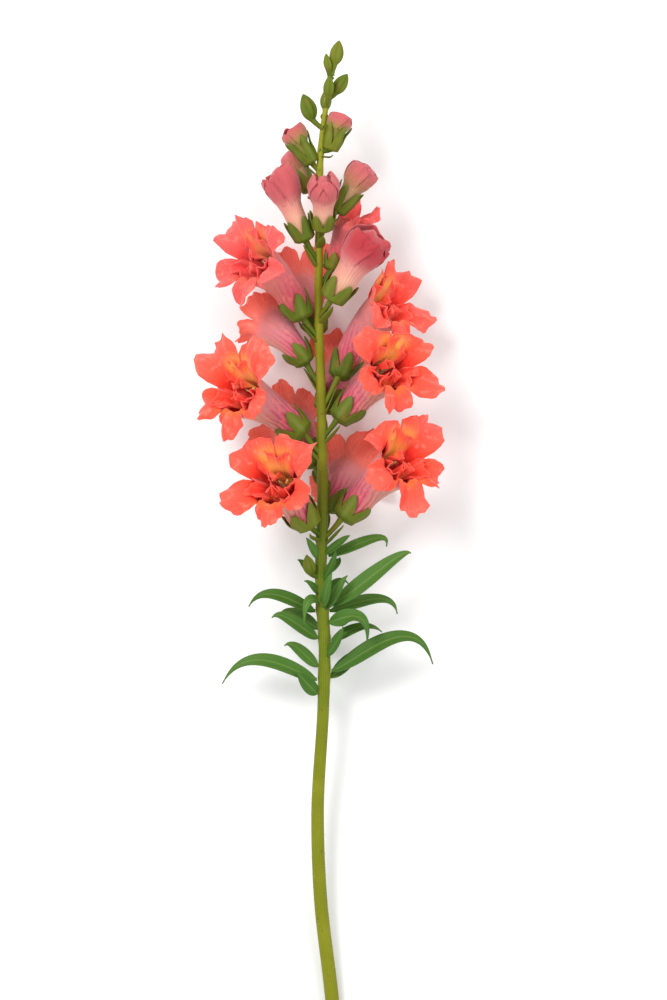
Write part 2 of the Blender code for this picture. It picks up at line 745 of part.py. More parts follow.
def tip_bud_solids(node, base, tip, radius):
    """A green bud on its short stalk."""
    frame = Frame(base, tip)
    return [pedicel_solid(node, frame, PEDICEL_SINK), egg_solid(frame, radius)]


def leaf_root(along, crest, gap):
    """Where a leaf leaves the stalk, on the side that its crest lies, and its way out."""
    middle = stalk_point(along)
    out = crest - middle
    out = unit(np.array([out[0], 0.0, out[2]]))
    return middle + out * (stalk_radius(along) + gap), out


def build_stem():
    """The stalk with all that is green on it, in one body."""
    body = mesh_object("stem", stalk_solid(), "stem_green")
    parts = []
    for node, base, mouth, faces, size, _ in BLOOMS.values():
        frame = Frame(base, mouth, faces)
        length = frame.length

        def around(angles, forward, length=length, size=size):
            return tube_radius(angles, forward / length, size)

        parts.append(pedicel_solid(node, frame, CALYX_FLOOR))
        parts.append(calyx_solid(frame, around, CALYX_REACH * size))
        parts.append(bract_solid(node, frame))
    for node, base, tip, radius, _, cover in BUDS.values():
        frame = Frame(base, tip)
        length = frame.length

        def around(angles, forward, length=length, radius=radius):
            return bud_radius(angles, forward / length, radius)

        parts.append(pedicel_solid(node, frame, CALYX_FLOOR))
        parts.append(calyx_solid(frame, around, cover * length))
        parts.append(bract_solid(node, frame))
    for bud in TIP_BUDS:
        parts += tip_bud_solids(*bud)
    parts += tip_bud_solids(*POD)
    for along, crest, tip, width in LEAFLETS:
        crest = place(crest)
        root, out = leaf_root(along, crest, LEAFLET_GAP)
        tip = place(tip)
        parts.append(blade_solid(root, out, crest, tip, width, LEAFLET_FACE, LEAFLET_ROWS))
    fuse(body, parts, "stem_green")


def build_leaves():
    """The larger leaves, each one its own blade set on the stalk."""
    for name, (along, crest, tip, width, facing) in LEAVES.items():
        crest = place(crest)
        root, out = leaf_root(along, crest, LEAF_GAP)
        solid = blade_solid(root, out, crest, place(tip), width, facing)
        mesh_object(name, solid, "leaf_green")


def inner_petal_solid(own, paths):
    """The small inner petal that stands in the mouth in front of the upper lobes."""
    _, base, mouth, faces, size, openness = BLOOMS[own]
    frame = Frame(base, mouth, faces)
    angles = np.radians(INNER_ANGLES)
    wide = tube_radius(angles, 1.0, size)
    low = np.array(INNER_LOW)
    length = frame.length
    within = tube_radius(angles, INNER_FROM, size) + 0.15
    flare = INNER_FLARE * size * openness * low
    sheet = np.array([
        frame.at(angles, within, np.full(4, INNER_FROM * length)),
        frame.at(angles, wide * 0.74, np.full(4, length + 0.5)),
        frame.at(angles, wide * 0.8 + flare, length + INNER_REACH * size * low),
    ])
    sheet[1:] = ease_apart(sheet[1:], own, paths)
    return slab_solid(press_down(sheet, PETAL / 2), PETAL)


def style_solid(own):
    """The style that stands in the throat among the stamens."""
    _, base, mouth, faces, size, _ = BLOOMS[own]
    frame = Frame(base, mouth, faces)
    share = np.array((0, 0.4, 0.95))
    path = frame.at(np.zeros(3), STYLE_RISE * size * share, frame.length * share)
    return tube_solid(path, np.full(3, STYLE_RADIUS), 4)


def build_blooms():
    """The open flowers, each one a ruffled two-lipped corolla."""
    paths = flower_paths()
    draw = np.random.default_rng(SEED)
    for name in BLOOMS:
        phases = draw.uniform(0, 1, len(LOBES))
        sizes = draw.uniform(*LOBE_SPREAD, len(LOBES))
        sheet = corolla_sheet(name, paths, phases, sizes)
        corolla = mesh_object(name, cup_solid(sheet, PETAL), "petal_coral")
        inner = [inner_petal_solid(name, paths), style_solid(name)]
        fuse(corolla, inner, "petal_coral", "MANIFOLD")


def build_buds():
    """The buds that already show their colour."""
    for name, spec in BUDS.items():
        mesh_object(name, bud_solid(spec), "bud_pink")


def main():
    for item in list(bpy.data.objects):
        bpy.data.objects.remove(item)
    build_stem()
    build_leaves()
    build_blooms()
    build_buds()


main()
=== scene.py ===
"""The looks of a cut snapdragon stem that lies on a pale surface, seen from straight above.

Lengths are in millimetres and become metres when a mesh is made. X runs across the stem,
Y from the cut end to the tip, and Z up from the surface. The heights in the tables are
measured from the middle of the stalk.
"""

import math

import bpy
import numpy as np
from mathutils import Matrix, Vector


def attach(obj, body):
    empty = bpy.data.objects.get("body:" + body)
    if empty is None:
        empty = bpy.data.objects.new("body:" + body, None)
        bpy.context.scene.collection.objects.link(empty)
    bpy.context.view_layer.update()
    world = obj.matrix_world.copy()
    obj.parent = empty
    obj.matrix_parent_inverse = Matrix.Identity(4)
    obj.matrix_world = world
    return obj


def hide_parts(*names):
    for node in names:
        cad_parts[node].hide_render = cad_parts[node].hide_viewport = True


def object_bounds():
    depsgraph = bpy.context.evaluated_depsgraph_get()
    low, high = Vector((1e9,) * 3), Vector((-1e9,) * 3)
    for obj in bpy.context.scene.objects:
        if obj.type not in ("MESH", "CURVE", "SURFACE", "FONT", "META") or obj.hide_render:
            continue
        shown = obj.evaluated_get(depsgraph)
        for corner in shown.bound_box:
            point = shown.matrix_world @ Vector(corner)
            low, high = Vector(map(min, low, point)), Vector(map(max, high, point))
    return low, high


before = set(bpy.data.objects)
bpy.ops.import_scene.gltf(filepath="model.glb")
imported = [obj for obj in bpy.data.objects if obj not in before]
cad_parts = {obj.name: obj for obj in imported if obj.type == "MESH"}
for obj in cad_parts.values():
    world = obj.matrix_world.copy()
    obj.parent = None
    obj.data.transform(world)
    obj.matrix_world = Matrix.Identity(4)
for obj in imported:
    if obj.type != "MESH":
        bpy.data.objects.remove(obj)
CAD_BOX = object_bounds()

MM = 0.001
SEED = 11
TIPWARDS = np.array([0.0, 1.0, 0.0])
BEND = 0.5

# The origin: the middle of the plant's box, on the surface that it lies on
ORIGIN = np.array((-1.35, 225.58, 0.0))

# The stalk: distance along it, sideways place, height and radius
STALK = (
    (0, 6.3, 3.15, 3.15),
    (20, 4.4, 4.6, 3.1),
    (65, -0.7, 9.0, 3.0),
    (101, -2.0, 12.8, 2.9),
    (155, 0.7, 19.0, 2.7),
    (182, 1.1, 22.0, 2.7),
    (205, -0.4, 24.6, 2.7),
    (240, 0.2, 28.4, 2.5),
    (290, -0.3, 32.4, 2.1),
    (330, -1.5, 34.6, 1.9),
    (362, -1.3, 35.8, 1.7),
    (405, -0.2, 36.6, 1.4),
    (425, 2.3, 36.8, 1.15),
    (438, 4.5, 37.0, 1.0),
)

# Walls and gaps
PETAL = 0.8
PETAL_LOOK = 0.5
SEPAL = 0.9
BLADE_LOOK = 0.6
SEAT_GAP = 0.4
NEIGHBOUR_GAP = 1.0
LEAF_GAP = 0.6
CALYX_CLEAR = 0.85
CALYX_FLOOR = -(PETAL / 2 + SEAT_GAP + SEPAL / 2) - 0.15
CALYX_REACH = 7.8

# The space that a flower keeps to: half its thickness, how far its face reaches ahead of the
# mouth, what a bud takes up round its own radius, what the stalk takes up, how far a lobe may
# pass the edge of its space before it is cut short, and the longest and shortest lobe
FLOWER_GIRTH = 6.4
FACE_REACH = 9
BUD_MARGIN = 1.0
STALK_SHARE = 3.9
TRESPASS = 1.5
LONGEST_LOBE = 26
SHORTEST_LOBE = 3.5
LIMIT_ANGLES = 40

# The surface: petals that would pass it are pressed softly on it
PRESS = 1.2

# How strongly every surface mirrors the pale room
GLARE = 0.18

# Share of a bud that its sepals cover when it is ripe, and when it is still green
BARE_COVER = 0.28
FULL_COVER = 0.72

# The corolla of a full-size flower
TUBE_PROFILE = ((0, 3.7), (0.12, 4.9), (0.35, 5.6), (0.7, 7.2), (1, 9.0))
TUBE_BULGE = 0.9
BULGE_PLACE = 0.15
TUBE_ROWS = 12
LIMB_ROWS = 26
STEPS_PER_ROW = 6
COLUMNS_PER_LOBE = 20
MOUTH_FLARE = 18
FLARED_BY = 0.7
PALATE_PLACE = 0.12
PALATE_SPAN = 0.16
REFERENCE_LOBE = 21

# Least and greatest size of a lobe, and curl of its rim in degrees
LOBE_SPREAD = (0.82, 1.2)
RIM_CURL = (-25, 55)

# Waves of a lobe: height, how fast it grows towards the rim, and turns across the lobe. Each
# fine wave also has the times over that it takes the lobe's second phase. The frill has a
# share of the lobe's length, and turns
BROAD_WAVE = (3.6, 1.4, 1.5)
FINE_WAVES = ((1.3, 2.2, 3.6, 1), (0.7, 3.5, 8.5, 2), (0.4, 1, 5.5, 3))
FRILL = ((0.035, 4.5), (0.02, 10))

# Share of their size that the inner petals keep in a flower that faces the surface
PRESSED = 0.72

# How rosy the youngest open flowers are
ROSY = {"bloom_01": 1.0, "bloom_02": 0.8, "bloom_03": 0.4, "bloom_04": 0.2}

# Inner petals in the mouth: middle and half width in degrees, where in the tube's width
# they start, how far they lean out and how far they rise
INNER_PETALS = (
    (0, 50, 0.76, 5.5, 7.5),
    (112, 38, 0.66, 3.5, 7.0),
    (248, 38, 0.66, 3.5, 7.0),
    (160, 42, 0.56, -3.6, 5.0),
    (212, 36, 0.50, -2.4, 6.5),
    (20, 34, 0.52, -2.0, 6.0),
)

# Lobes of the mouth: first and last angle from its top, length, notch before it,
# flare of its rim in degrees, and how far its base humps inwards as the palate
LOBES = (
    (0, 80, 20.5, 8.5, 84, 0),
    (80, 146, 15.0, 3.0, 92, 26),
    (146, 214, 16.0, 5.5, 104, 62),
    (214, 280, 15.0, 5.5, 92, 26),
    (280, 360, 20.5, 3.0, 84, 0),
)

# Open flowers: node on the stalk, base of the tube, middle of the mouth, the way that
# the mouth faces, size and openness
BLOOMS = {
    "bloom_01": (341, (4.5, 350, -3), (12, 367, -3), (0.35, 0.85, 0.2), 0.78, 0.4),
    "bloom_02": (318, (-9, 328, 2), (-28, 350, 9), (-0.66, 0.3, 0.68), 1.08, 0.95),
    "bloom_03": (314, (-2, 322, -7), (-10, 339, -22), (-0.35, 0.45, -0.8), 0.95, 0.9),
    "bloom_04": (286, (8, 302, -2), (28, 330, -2), (0.6, 0.4, 0.5), 1.05, 1.0),
    "bloom_05": (296, (-8, 308, -3), (-23, 323, -11), (-0.6, 0.35, -0.5), 0.95, 1.0),
    "bloom_06": (265, (-9, 276, 2), (-35, 292, 8), (-0.64, 0.26, 0.72), 1.18, 1.0),
    "bloom_07": (273, (8, 282.5, 3), (30, 302, 11), (0.42, 0.25, 0.86), 1.1, 1.0),
    "bloom_08": (276, (1, 287, -8.5), (10, 302, -23), (0.3, 0.4, -0.85), 1.0, 1.0),
    "bloom_09": (229, (-5.5, 234, 7), (-20, 251, 18), (-0.4, 0.25, 0.87), 1.18, 1.0),
    "bloom_10": (227, (10, 238, 3), (34, 260, 9), (0.56, 0.33, 0.74), 1.15, 1.0),
    "bloom_11": (233, (3, 242, -7), (10, 255, -21), (0.3, 0.3, -0.9), 1.0, 1.0),
    "bloom_12": (254, (-4, 262, -7), (-12, 277, -20), (-0.4, 0.4, -0.8), 1.0, 1.0),
}

# Buds in colour: node on the stalk, base, tip, greatest radius, how far the lips part,
# and how much of the bud its sepals cover
BUDS = {
    "bud_01": (402, (4.4, 404, 2), (9.2, 417.5, 4), 4.4, 0.1, 0.72),
    "bud_02": (393, (-5.4, 398, 0), (-14.4, 411.5, 1), 4.6, 0.1, 0.72),
    "bud_03": (383, (-6.5, 386, -6), (-14, 400, -11), 4.2, 0.1, 0.5),
    "bud_04": (361, (0.4, 367.5, 8), (0.8, 389, 17), 6.0, 0.3, 0.3),
    "bud_05": (369, (7.4, 376, 2), (20.5, 394.4, 4), 5.6, 0.3, 0.5),
    "bud_06": (352, (-8, 363, 3), (-21, 393, 6), 6.2, 0.6, 0.28),
    "bud_07": (327, (5, 336, 8), (24, 364, 14), 8.0, 0.8, 0.28),
}

# A coloured bud: its radius along it, as shares of its greatest one
BUD_PROFILE = ((0, 0.6), (0.15, 0.72), (0.4, 0.78), (0.66, 1.0), (0.88, 0.84), (1, 0.26))
BUD_LEAN = 3.0

# Lips folded over a bud: middle and half width in degrees, where along the bud they start,
# how far they stand out, and how much further for each share that the lips part
BUD_LIPS = (
    (180, 62, 0.5, 0.3, 0.9),
    (112, 44, 0.56, 0.6, 0.8),
    (248, 44, 0.56, 0.6, 0.8),
    (48, 62, 0.46, 0.9, 0.8),
    (-42, 62, 0.44, 1.2, 1.0),
)

# Green buds at the tip, and the small pod low on the stalk: node, base, tip and radius
TIP_BUDS = (
    (436, (5.5, 440, 0), (7.8, 451.5, 1), 3.3),
    (434, (3.4, 437, 1), (1.8, 445.5, 2), 2.0),
    (425, (5.6, 427, 0), (11.6, 436.5, -1), 3.3),
    (422, (2.8, 425, 4), (3.6, 435.5, 6), 2.6),
    (412, (-4.2, 415, 0), (-8.6, 427.5, 0), 3.9),
    (417, (1.5, 420, -4), (2.5, 430.5, -7), 2.8),
    (210, (-4.6, 211, 3), (-7, 220.5, 5), 3.0),
)

# Leaves: place on the stalk, crest, tip, width and the way that the face looks
LEAVES = {
    "leaf_01": (164, (-21.5, 171.5, 2), (-45, 162, -3), 8.0, (0, 0.8, 1)),
    "leaf_02": (168, (27, 180.5, 3), (50, 171, 1), 8.5, (0, 0.8, 1)),
    "leaf_03": (165, (12, 172, -7), (21, 174, -11), 6.5, (0, 0.8, 1)),
    "leaf_04": (195, (-17, 201, 2), (-33, 197, 0), 7.0, (0, 0.8, 1)),
    "leaf_05": (198, (23, 211, 5), (40, 221, 7), 8.0, (-0.5, 0.3, 1)),
    "leaf_06": (220, (19, 226, -3), (29, 224, -5), 5.5, (0, 0.8, 1)),
    "leaf_07": (195, (20, 199.5, -5), (34, 193.5, -9), 6.5, (0, 0.8, 1)),
    "leaf_08": (190, (14, 192.5, 10), (20, 179, 9), 7.5, (0.9, 0.3, 1)),
    "leaf_09": (183, (-12, 189.5, 6), (-22.5, 192, 7), 7.0, (0.2, 0.6, 1)),
    "leaf_10": (182, (14, 186.5, 3), (27, 185.5, 3), 5.5, (0, 0.8, 1)),
    "leaf_11": (170, (-9, 176, -6), (-17, 179, -10), 6.0, (0, 0.8, 1)),
    "leaf_12": (196, (5, 204, -12), (12, 207, -17), 7.0, (0.2, 0.9, 0.6)),
    "leaf_13": (187, (-10, 192, -10), (-19, 193, -13), 7.0, (-0.2, 0.9, 0.8)),
    "leaf_14": (158, (-6.5, 162, 4), (-11.5, 167.5, 6), 6.5, (-0.3, 0.5, 1)),
}

# Small leaves that grow fast to the stalk: place, crest, tip and width
LEAFLETS = (
    (196, (6, 203, 6), (11.5, 211, 8), 5.0),
    (197, (2, 204, 9), (4.5, 212, 12), 4.5),
    (199, (-5, 200, 6), (-8, 188, 8), 5.0),
    (203, (-4, 206, 4), (-8, 208.5, 6), 3.5),
    (219, (-4, 223, 4), (-7, 228, 5), 4.0),
    (221, (7, 225, 3), (12.5, 229, 4), 4.0),
    (209, (4, 215, 5), (6, 222, 7), 3.5),
    (210, (-6, 214, -4), (-11, 218, -6), 4.5),
    (175, (6, 180, 6), (9.5, 188, 8), 4.5),
    (212, (5, 215, -6), (8, 219, -10), 4.5),
)

# The stalk's surface: depth of its ribs, and height and reach of the swelling at a node
STALK_RIBS = 0.018
NODE_SWELL = 0.14
NODE_REACH = 2.2

# Fine hairs on the stalk: how many, and the radii of each from root to point
HAIRS = 900
HAIR_RADII = (0.07, 0.05, 0.015)

# Pedicels, bracts and blades
PEDICEL_RADII = ((0, 1.9), (0.2, 1.25), (0.5, 1.1), (0.85, 1.35), (1, 1.7))
PEDICEL_SAG = 1.2
PEDICEL_SINK = 1.5
BRACT_WIDTH = 4.0
BRACT_DROP = 4.2
BRACT_REACH = 0.78
BLADE_ROOT = 1.6
BLADE_TIP = 0.25
BLADE_FOLD = 0.28
LEAF_WAVES = 0.06
LEAFLET_GAP = -1.5
LEAFLET_FACE = (0, 0.6, 1)

# Stamens: their places across the throat, height in it, and radii of thread and anther
STAMENS = (-2.6, -1.0, 1.0, 2.6)
STAMEN_HEIGHT = 3.2
THREAD = 0.28
ANTHER = 0.6

# Lights: place in metres, width and power; and the strength of the white room
LIGHTS = {
    "key": ((-0.7, 0.7, 1.3), 0.6, 16.0),
    "fill": ((0.9, 0.1, 1.1), 1.0, 6.0),
}
ROOM_LIGHT = 0.8
FLOOR_REACH = 3.0

# The photograph's frame, in its own pixels and in millimetres on the plant
PHOTO_SIZE = (667, 1000)
PIXEL = 0.45
VIEW_MIDDLE = (5.2, 245.0, 30.0)
VIEW_DISTANCE = 3000.0


def unit(vector):
    """The vector at length one; rows are treated one by one."""
    return vector / np.linalg.norm(vector, axis=-1, keepdims=True)


def soft_step(value, low, high):
    """Rises smoothly from 0 at low to 1 at high."""
    t = np.clip((value - low) / (high - low), 0, 1)
    return t * t * (3 - 2 * t)


def smooth_through(where, knots, values):
    """A smooth curve through the values at the knots."""
    knots = np.asarray(knots, float)
    values = np.asarray(values, float)
    slopes = np.gradient(values, knots)
    i = np.clip(np.searchsorted(knots, where) - 1, 0, len(knots) - 2)
    span = knots[i + 1] - knots[i]
    t = np.clip((where - knots[i]) / span, 0, 1)
    from_first = (1 + 2 * t) * (1 - t) ** 2 * values[i] + t * (1 - t) ** 2 * span * slopes[i]
    from_last = t * t * (3 - 2 * t) * values[i + 1] + t * t * (t - 1) * span * slopes[i + 1]
    return from_first + from_last


def curve(share, *points):
    """A point at a share along the smooth curve that the points steer."""
    if len(points) == 1:
        return points[0]
    return (1 - share) * curve(share, *points[:-1]) + share * curve(share, *points[1:])


def stalk_point(along):
    """The middle of the stalk at a distance along it."""
    along = np.asarray(along, float)
    knots, sideways, height, _ = zip(*STALK)
    across = smooth_through(along, knots, sideways)
    up = smooth_through(along, knots, height)
    return np.stack([across, along, up], axis=-1)


def stalk_radius(along):
    """The stalk's radius at a distance along it."""
    return smooth_through(along, [row[0] for row in STALK], [row[3] for row in STALK])


def place(point):
    """A point of the tables, with its height measured from the middle of the stalk."""
    across, along, above = point
    return np.array([across, along, stalk_point(along)[2] + above])


class Frame:
    """A flower's own axes: along its tube, up towards the tip of the stem, and sideways.

    A tube can bend, from its first direction to the way that its mouth faces.
    """

    def __init__(self, base, end, faces=None):
        self.base = place(base)
        self.end = place(end)
        span = self.end - self.base
        self.faces = unit(span if faces is None else np.asarray(faces, float))
        self.control = self.end - self.faces * BEND * np.linalg.norm(span)
        self.axis = unit(self.control - self.base)
        self.length = 1.0
        middle, _ = self.spine(np.linspace(0, 1, 33))
        self.length = np.linalg.norm(np.diff(middle, axis=0), axis=1).sum()

    def spine(self, forward):
        """The tube's middle line and its direction, at places along it and past its ends."""
        share = np.clip(forward / self.length, 0, 1)[..., None]
        middle = curve(share, self.base, self.control, self.end)
        along = unit(curve(share, self.control - self.base, self.end - self.control))
        return middle + along * (np.asarray(forward)[..., None] - share * self.length), along

    def at(self, angle, radius, forward):
        """A point by its angle from the top, distance from the axis and place along it."""
        middle, along = self.spine(np.asarray(forward, float))
        up = unit(TIPWARDS - along * along[..., 1:2])
        angle = np.asarray(angle, float)[..., None]
        radial = np.cos(angle) * up + np.sin(angle) * np.cross(along, up)
        return middle + radial * np.asarray(radius, float)[..., None]


class Piece:
    """A mesh in the making: solids with the numbers that its material reads."""

    TAGS = ("reach", "turn", "inner", "tint", "rib")

    def __init__(self):
        self.points = []
        self.faces = []
        self.tags = {tag: [] for tag in self.TAGS}
        self.count = 0

    def add(self, solid, **tags):
        """Add a solid; a tag is one number or one for each of its points."""
        points, faces = solid
        self.points.append(points)
        self.faces += [tuple(int(i) + self.count for i in face) for face in faces]
        self.count += len(points)
        for tag in self.TAGS:
            self.tags[tag].append(np.broadcast_to(tags.get(tag, 0.0), len(points)))

    def add_shell(self, solid, shape, inner=None, **tags):
        """Add a cup or a blade; a tag is one number or a grid, and inner marks its faces."""
        cells = shape[0] * shape[1]
        poles = len(solid[0]) - 2 * cells
        for tag, value in tags.items():
            if np.ndim(value):
                grid = np.broadcast_to(value, shape).ravel()
                tags[tag] = np.concatenate([grid, grid, np.zeros(poles)])
        if inner is None:
            inner = np.concatenate([np.zeros(cells), np.ones(cells), np.arange(poles)])
        self.add(solid, inner=inner, **tags)

    def add_rings(self, solid, shares, angles, **tags):
        """Add a solid through rings, one for each share, with its points at the angles."""
        reach = np.concatenate([np.repeat(shares, len(angles)), (0.0, 1.0)])
        turn = np.concatenate([np.tile(angles, len(shares)), (0.0, 0.0)])
        self.add(solid, reach=reach, turn=turn, **tags)

    def make(self, name, look, slot, *nodes):
        """Turn it into an object that rides on the plant and stands for its solids."""
        points = np.concatenate(self.points)
        points[:, 2] = np.maximum(points[:, 2], 0.0)
        points = (points - ORIGIN) * MM
        points = np.clip(points, np.array(CAD_BOX[0]), np.array(CAD_BOX[1]))
        mesh = bpy.data.meshes.new(name)
        mesh.from_pydata(points.tolist(), [], self.faces)
        mesh.validate()
        for tag, values in self.tags.items():
            layer = mesh.attributes.new(tag, "FLOAT", "POINT")
            layer.data.foreach_set("value", np.concatenate(values).astype(np.float32))
        mesh.shade_smooth()
        mesh.materials.append(look)
        item = add_object(name, mesh)
        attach(item, "root")
        if nodes:
            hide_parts(*nodes)


def add_object(name, data):
    """A new object in the scene."""
    item = bpy.data.objects.new(name, data)
    bpy.context.scene.collection.objects.link(item)
    return item


def round_turn(count):
    """Angles evenly spaced round a circle."""
    return np.linspace(0, 2 * math.pi, count, endpoint=False)


def strip(first, second, closed):
    """Quads between two rows of point numbers."""
    last = len(first) if closed else len(first) - 1
    for j in range(last):
        k = (j + 1) % len(first)
        yield first[j], first[k], second[k], second[j]


def skin(numbers, closed):
    """Quads over a whole grid of point numbers."""
    return [face for pair in zip(numbers, numbers[1:]) for face in strip(*pair, closed)]


def fan(ring, pole):
    """Triangles from a closed ring of point numbers to one point."""
    return [(ring[(j + 1) % len(ring)], ring[j], pole) for j in range(len(ring))]


def flipped(faces):
    """The same faces, seen from their other side."""
    return [face[::-1] for face in faces]


def sheet_normals(sheet, closed):
    """Unit normals of a grid of points; a closed grid wraps round its columns."""
    down = np.gradient(sheet, axis=0)
    if closed:
        across = (np.roll(sheet, -1, axis=1) - np.roll(sheet, 1, axis=1)) / 2
    else:
        across = np.gradient(sheet, axis=1)
    return unit(np.cross(across, down) + 1e-12)


def shell(sheet, thickness, closed):
    """Both faces of a sheet: points, point numbers, and quads over the faces and last rim."""
    normals = sheet_normals(sheet, closed) * np.reshape(thickness, (-1, 1, 1)) / 2
    points = np.concatenate([(sheet + normals).reshape(-1, 3), (sheet - normals).reshape(-1, 3)])
    outer, inner = np.arange(len(points)).reshape(2, *sheet.shape[:2])
    faces = skin(outer, closed) + flipped(skin(inner, closed))
    faces += strip(outer[-1], inner[-1], closed)
    return points, outer, inner, faces


def cup_solid(sheet, thickness):
    """A cup, closed round and shut at its first row, with a wall thickness for each row."""
    points, outer, inner, faces = shell(sheet, thickness, True)
    middle = sheet[0].mean(axis=0)
    back = unit(middle - sheet[2].mean(axis=0)) * thickness[0] / 2
    pole = len(points)
    faces += fan(outer[0], pole) + fan(inner[0][::-1], pole + 1)
    return np.concatenate([points, [middle + back, middle - back]]), faces


def slab_solid(sheet, thickness):
    """A blade over an open grid of points, with a thickness for each row."""
    points, front, back, faces = shell(sheet, thickness, False)
    faces += strip(back[0], front[0], False)
    faces += strip(back[:, 0][::-1], front[:, 0][::-1], False)
    faces += strip(back[:, -1], front[:, -1], False)
    return points, faces


def lathe_solid(rings):
    """A solid through closed rings, shut by a point in the middle of each end."""
    pole = rings.shape[0] * rings.shape[1]
    numbers = np.arange(pole).reshape(rings.shape[:2])
    ends = [rings[0].mean(axis=0), rings[-1].mean(axis=0)]
    faces = skin(numbers, True) + fan(numbers[0], pole) + fan(numbers[-1][::-1], pole + 1)
    return np.concatenate([rings.reshape(-1, 3), ends]), faces


def tube_solid(path, radii, sides):
    """A round rod along a path, with flat ends."""
    path = np.asarray(path, float)
    tangents = unit(np.gradient(path, axis=0))
    guide = np.array([0.0, 0.0, 1.0]) if abs(tangents[0][2]) < 0.8 else np.array([1.0, 0.0, 0.0])
    side = unit(np.cross(tangents, guide))
    other = np.cross(side, tangents)
    turn = round_turn(sides)[None, :, None]
    radii = np.reshape(radii, (len(path), -1, 1))
    round_it = np.cos(turn) * side[:, None] + np.sin(turn) * other[:, None]
    return lathe_solid(path[:, None] + radii * round_it)


def tube_radius(angle, share, size):
    """Radius of a corolla's tube, which bulges below at its base."""
    knots, radii = zip(*TUBE_PROFILE)
    radius = smooth_through(share, knots, radii)
    below = np.clip(-np.cos(angle), 0, 1)
    bulge = TUBE_BULGE * below * np.exp(-((share - BULGE_PLACE) / BULGE_PLACE) ** 2)
    return (radius + bulge) * size


def bloom_frame(own):
    """An open flower's axes, size and openness."""
    _, base, mouth, faces, size, openness = BLOOMS[own]
    return Frame(base, mouth, faces), size, openness


def distance_to_path(points, path):
    """Distance from each point to a path, and the nearest point of the path."""
    best = np.full(points.shape[:-1], np.inf)
    nearest = np.zeros_like(points)
    for start, end in zip(path[:-1], path[1:]):
        run = end - start
        t = np.clip(((points - start) @ run) / (run @ run), 0, 1)
        foot = start + t[..., None] * run
        distance = np.linalg.norm(points - foot, axis=-1)
        closer = distance < best
        best = np.where(closer, distance, best)
        nearest = np.where(closer[..., None], foot, nearest)
    return best, nearest


def flower_paths():
    """The line that each flower and bud grows along, with its thickness."""
    paths = {}
    for name, (node, *_) in BLOOMS.items():
        axes, size, _ = bloom_frame(name)
        middle, _ = axes.spine(axes.length * np.array((0.0, 0.35, 0.7, 1.0)))
        ahead = axes.end + axes.faces * FACE_REACH * size
        paths[name] = (np.vstack([stalk_point(node), middle, ahead]), FLOWER_GIRTH * size)
    for name, (node, base, tip, radius, *_) in BUDS.items():
        axes = Frame(base, tip)
        path = np.array([stalk_point(node), axes.base, axes.end])
        paths[name] = (path, radius + BUD_MARGIN)
    return paths


def room(points, own, paths):
    """How far each point of a flower is from its neighbours' share of the space."""
    own_distance, own_foot = distance_to_path(points, paths[own][0])
    stalk_distance, stalk_foot = distance_to_path(points, STALK_PATH)
    least = stalk_distance - STALK_SHARE
    away = unit(points - stalk_foot)
    for name, (path, radius) in paths.items():
        if name == own:
            continue
        distance, foot = distance_to_path(points, path)
        gradient = unit(points - foot) - unit(points - own_foot + 1e-9)
        steep = np.maximum(np.linalg.norm(gradient, axis=-1), 0.3)
        for free, way in (
            ((distance - own_distance - NEIGHBOUR_GAP) / steep, gradient / steep[..., None]),
            (distance - radius - NEIGHBOUR_GAP, unit(points - foot)),
        ):
            closer = free < least
            least = np.where(closer, free, least)
            away = np.where(closer[..., None], way, away)
    return least, away


def ease_apart(points, own, paths):
    """Move points that come too near a neighbour back into their own space."""
    for _ in range(4):
        least, away = room(points, own, paths)
        points = points + away * np.clip(-least, 0, 3)[..., None]
    return points


def press_down(points, half):
    """Press a sheet's middle surface softly on the surface below."""
    above = points[..., 2] - half
    pressed = PRESS * np.exp(np.minimum(above - PRESS, 0) / PRESS)
    points = points.copy()
    points[..., 2] = np.where(above < PRESS, pressed, above) + half
    return points


def lobe_columns(per_lobe):
    """Angle, lobe number and share across the lobe for each column round the mouth."""
    columns = []
    for number, (first, last, *_) in enumerate(LOBES):
        for k in range(per_lobe):
            share = k / per_lobe
            columns.append((math.radians(first + share * (last - first)), number, share))
    return columns


def lobe_length(number, share):
    """Length of the limb at a share across one lobe."""
    _, _, length, notch, _, _ = LOBES[number]
    next_notch = LOBES[(number + 1) % len(LOBES)][3]
    low = notch + (next_notch - notch) * share
    return low + (length - low) * math.sin(math.pi * share) ** 0.6


def limb_profile(angle, number, arc, size, openness, curl=0.0):
    """Radius, forward place and slope of the limb at arc lengths from the mouth."""
    _, _, length, _, flare, hump = LOBES[number]
    share = arc / (length * size)
    turn = curve(soft_step(share, 0, FLARED_BY), MOUTH_FLARE, flare * openness)
    turn = turn + curl * soft_step(share, 0.62, 1.0)
    cheeks = 1 - 0.35 * math.exp(-((math.cos(angle) + 1) / 0.012))
    hump = hump * cheeks * np.exp(-((share - PALATE_PLACE) / PALATE_SPAN) ** 2)
    turn = np.radians(turn - hump)
    step = np.diff(arc, prepend=arc[0])
    radius = tube_radius(angle, 1.0, size) + np.cumsum(np.sin(turn) * step)
    return radius, np.cumsum(np.cos(turn) * step), turn


def wave(turns, phase):
    """A sine wave counted in whole turns."""
    return math.sin(2 * math.pi * (turns + phase))


def lobe_edge(share):
    """1 across most of a lobe and 0 at the notches on its sides."""
    return min(1.0, 2.2 * math.sin(math.pi * share))


def ruffle(number, share, reach, phases, fine):
    """Wave of the rim across one lobe, growing with the distance from the mouth."""
    height, growth, turns = BROAD_WAVE
    lift = height * reach ** growth * wave(turns * share, phases[number])
    for height, growth, turns, order in FINE_WAVES:
        lift += height * reach ** growth * wave(turns * share, order * fine[number])
    return lobe_edge(share) * lift


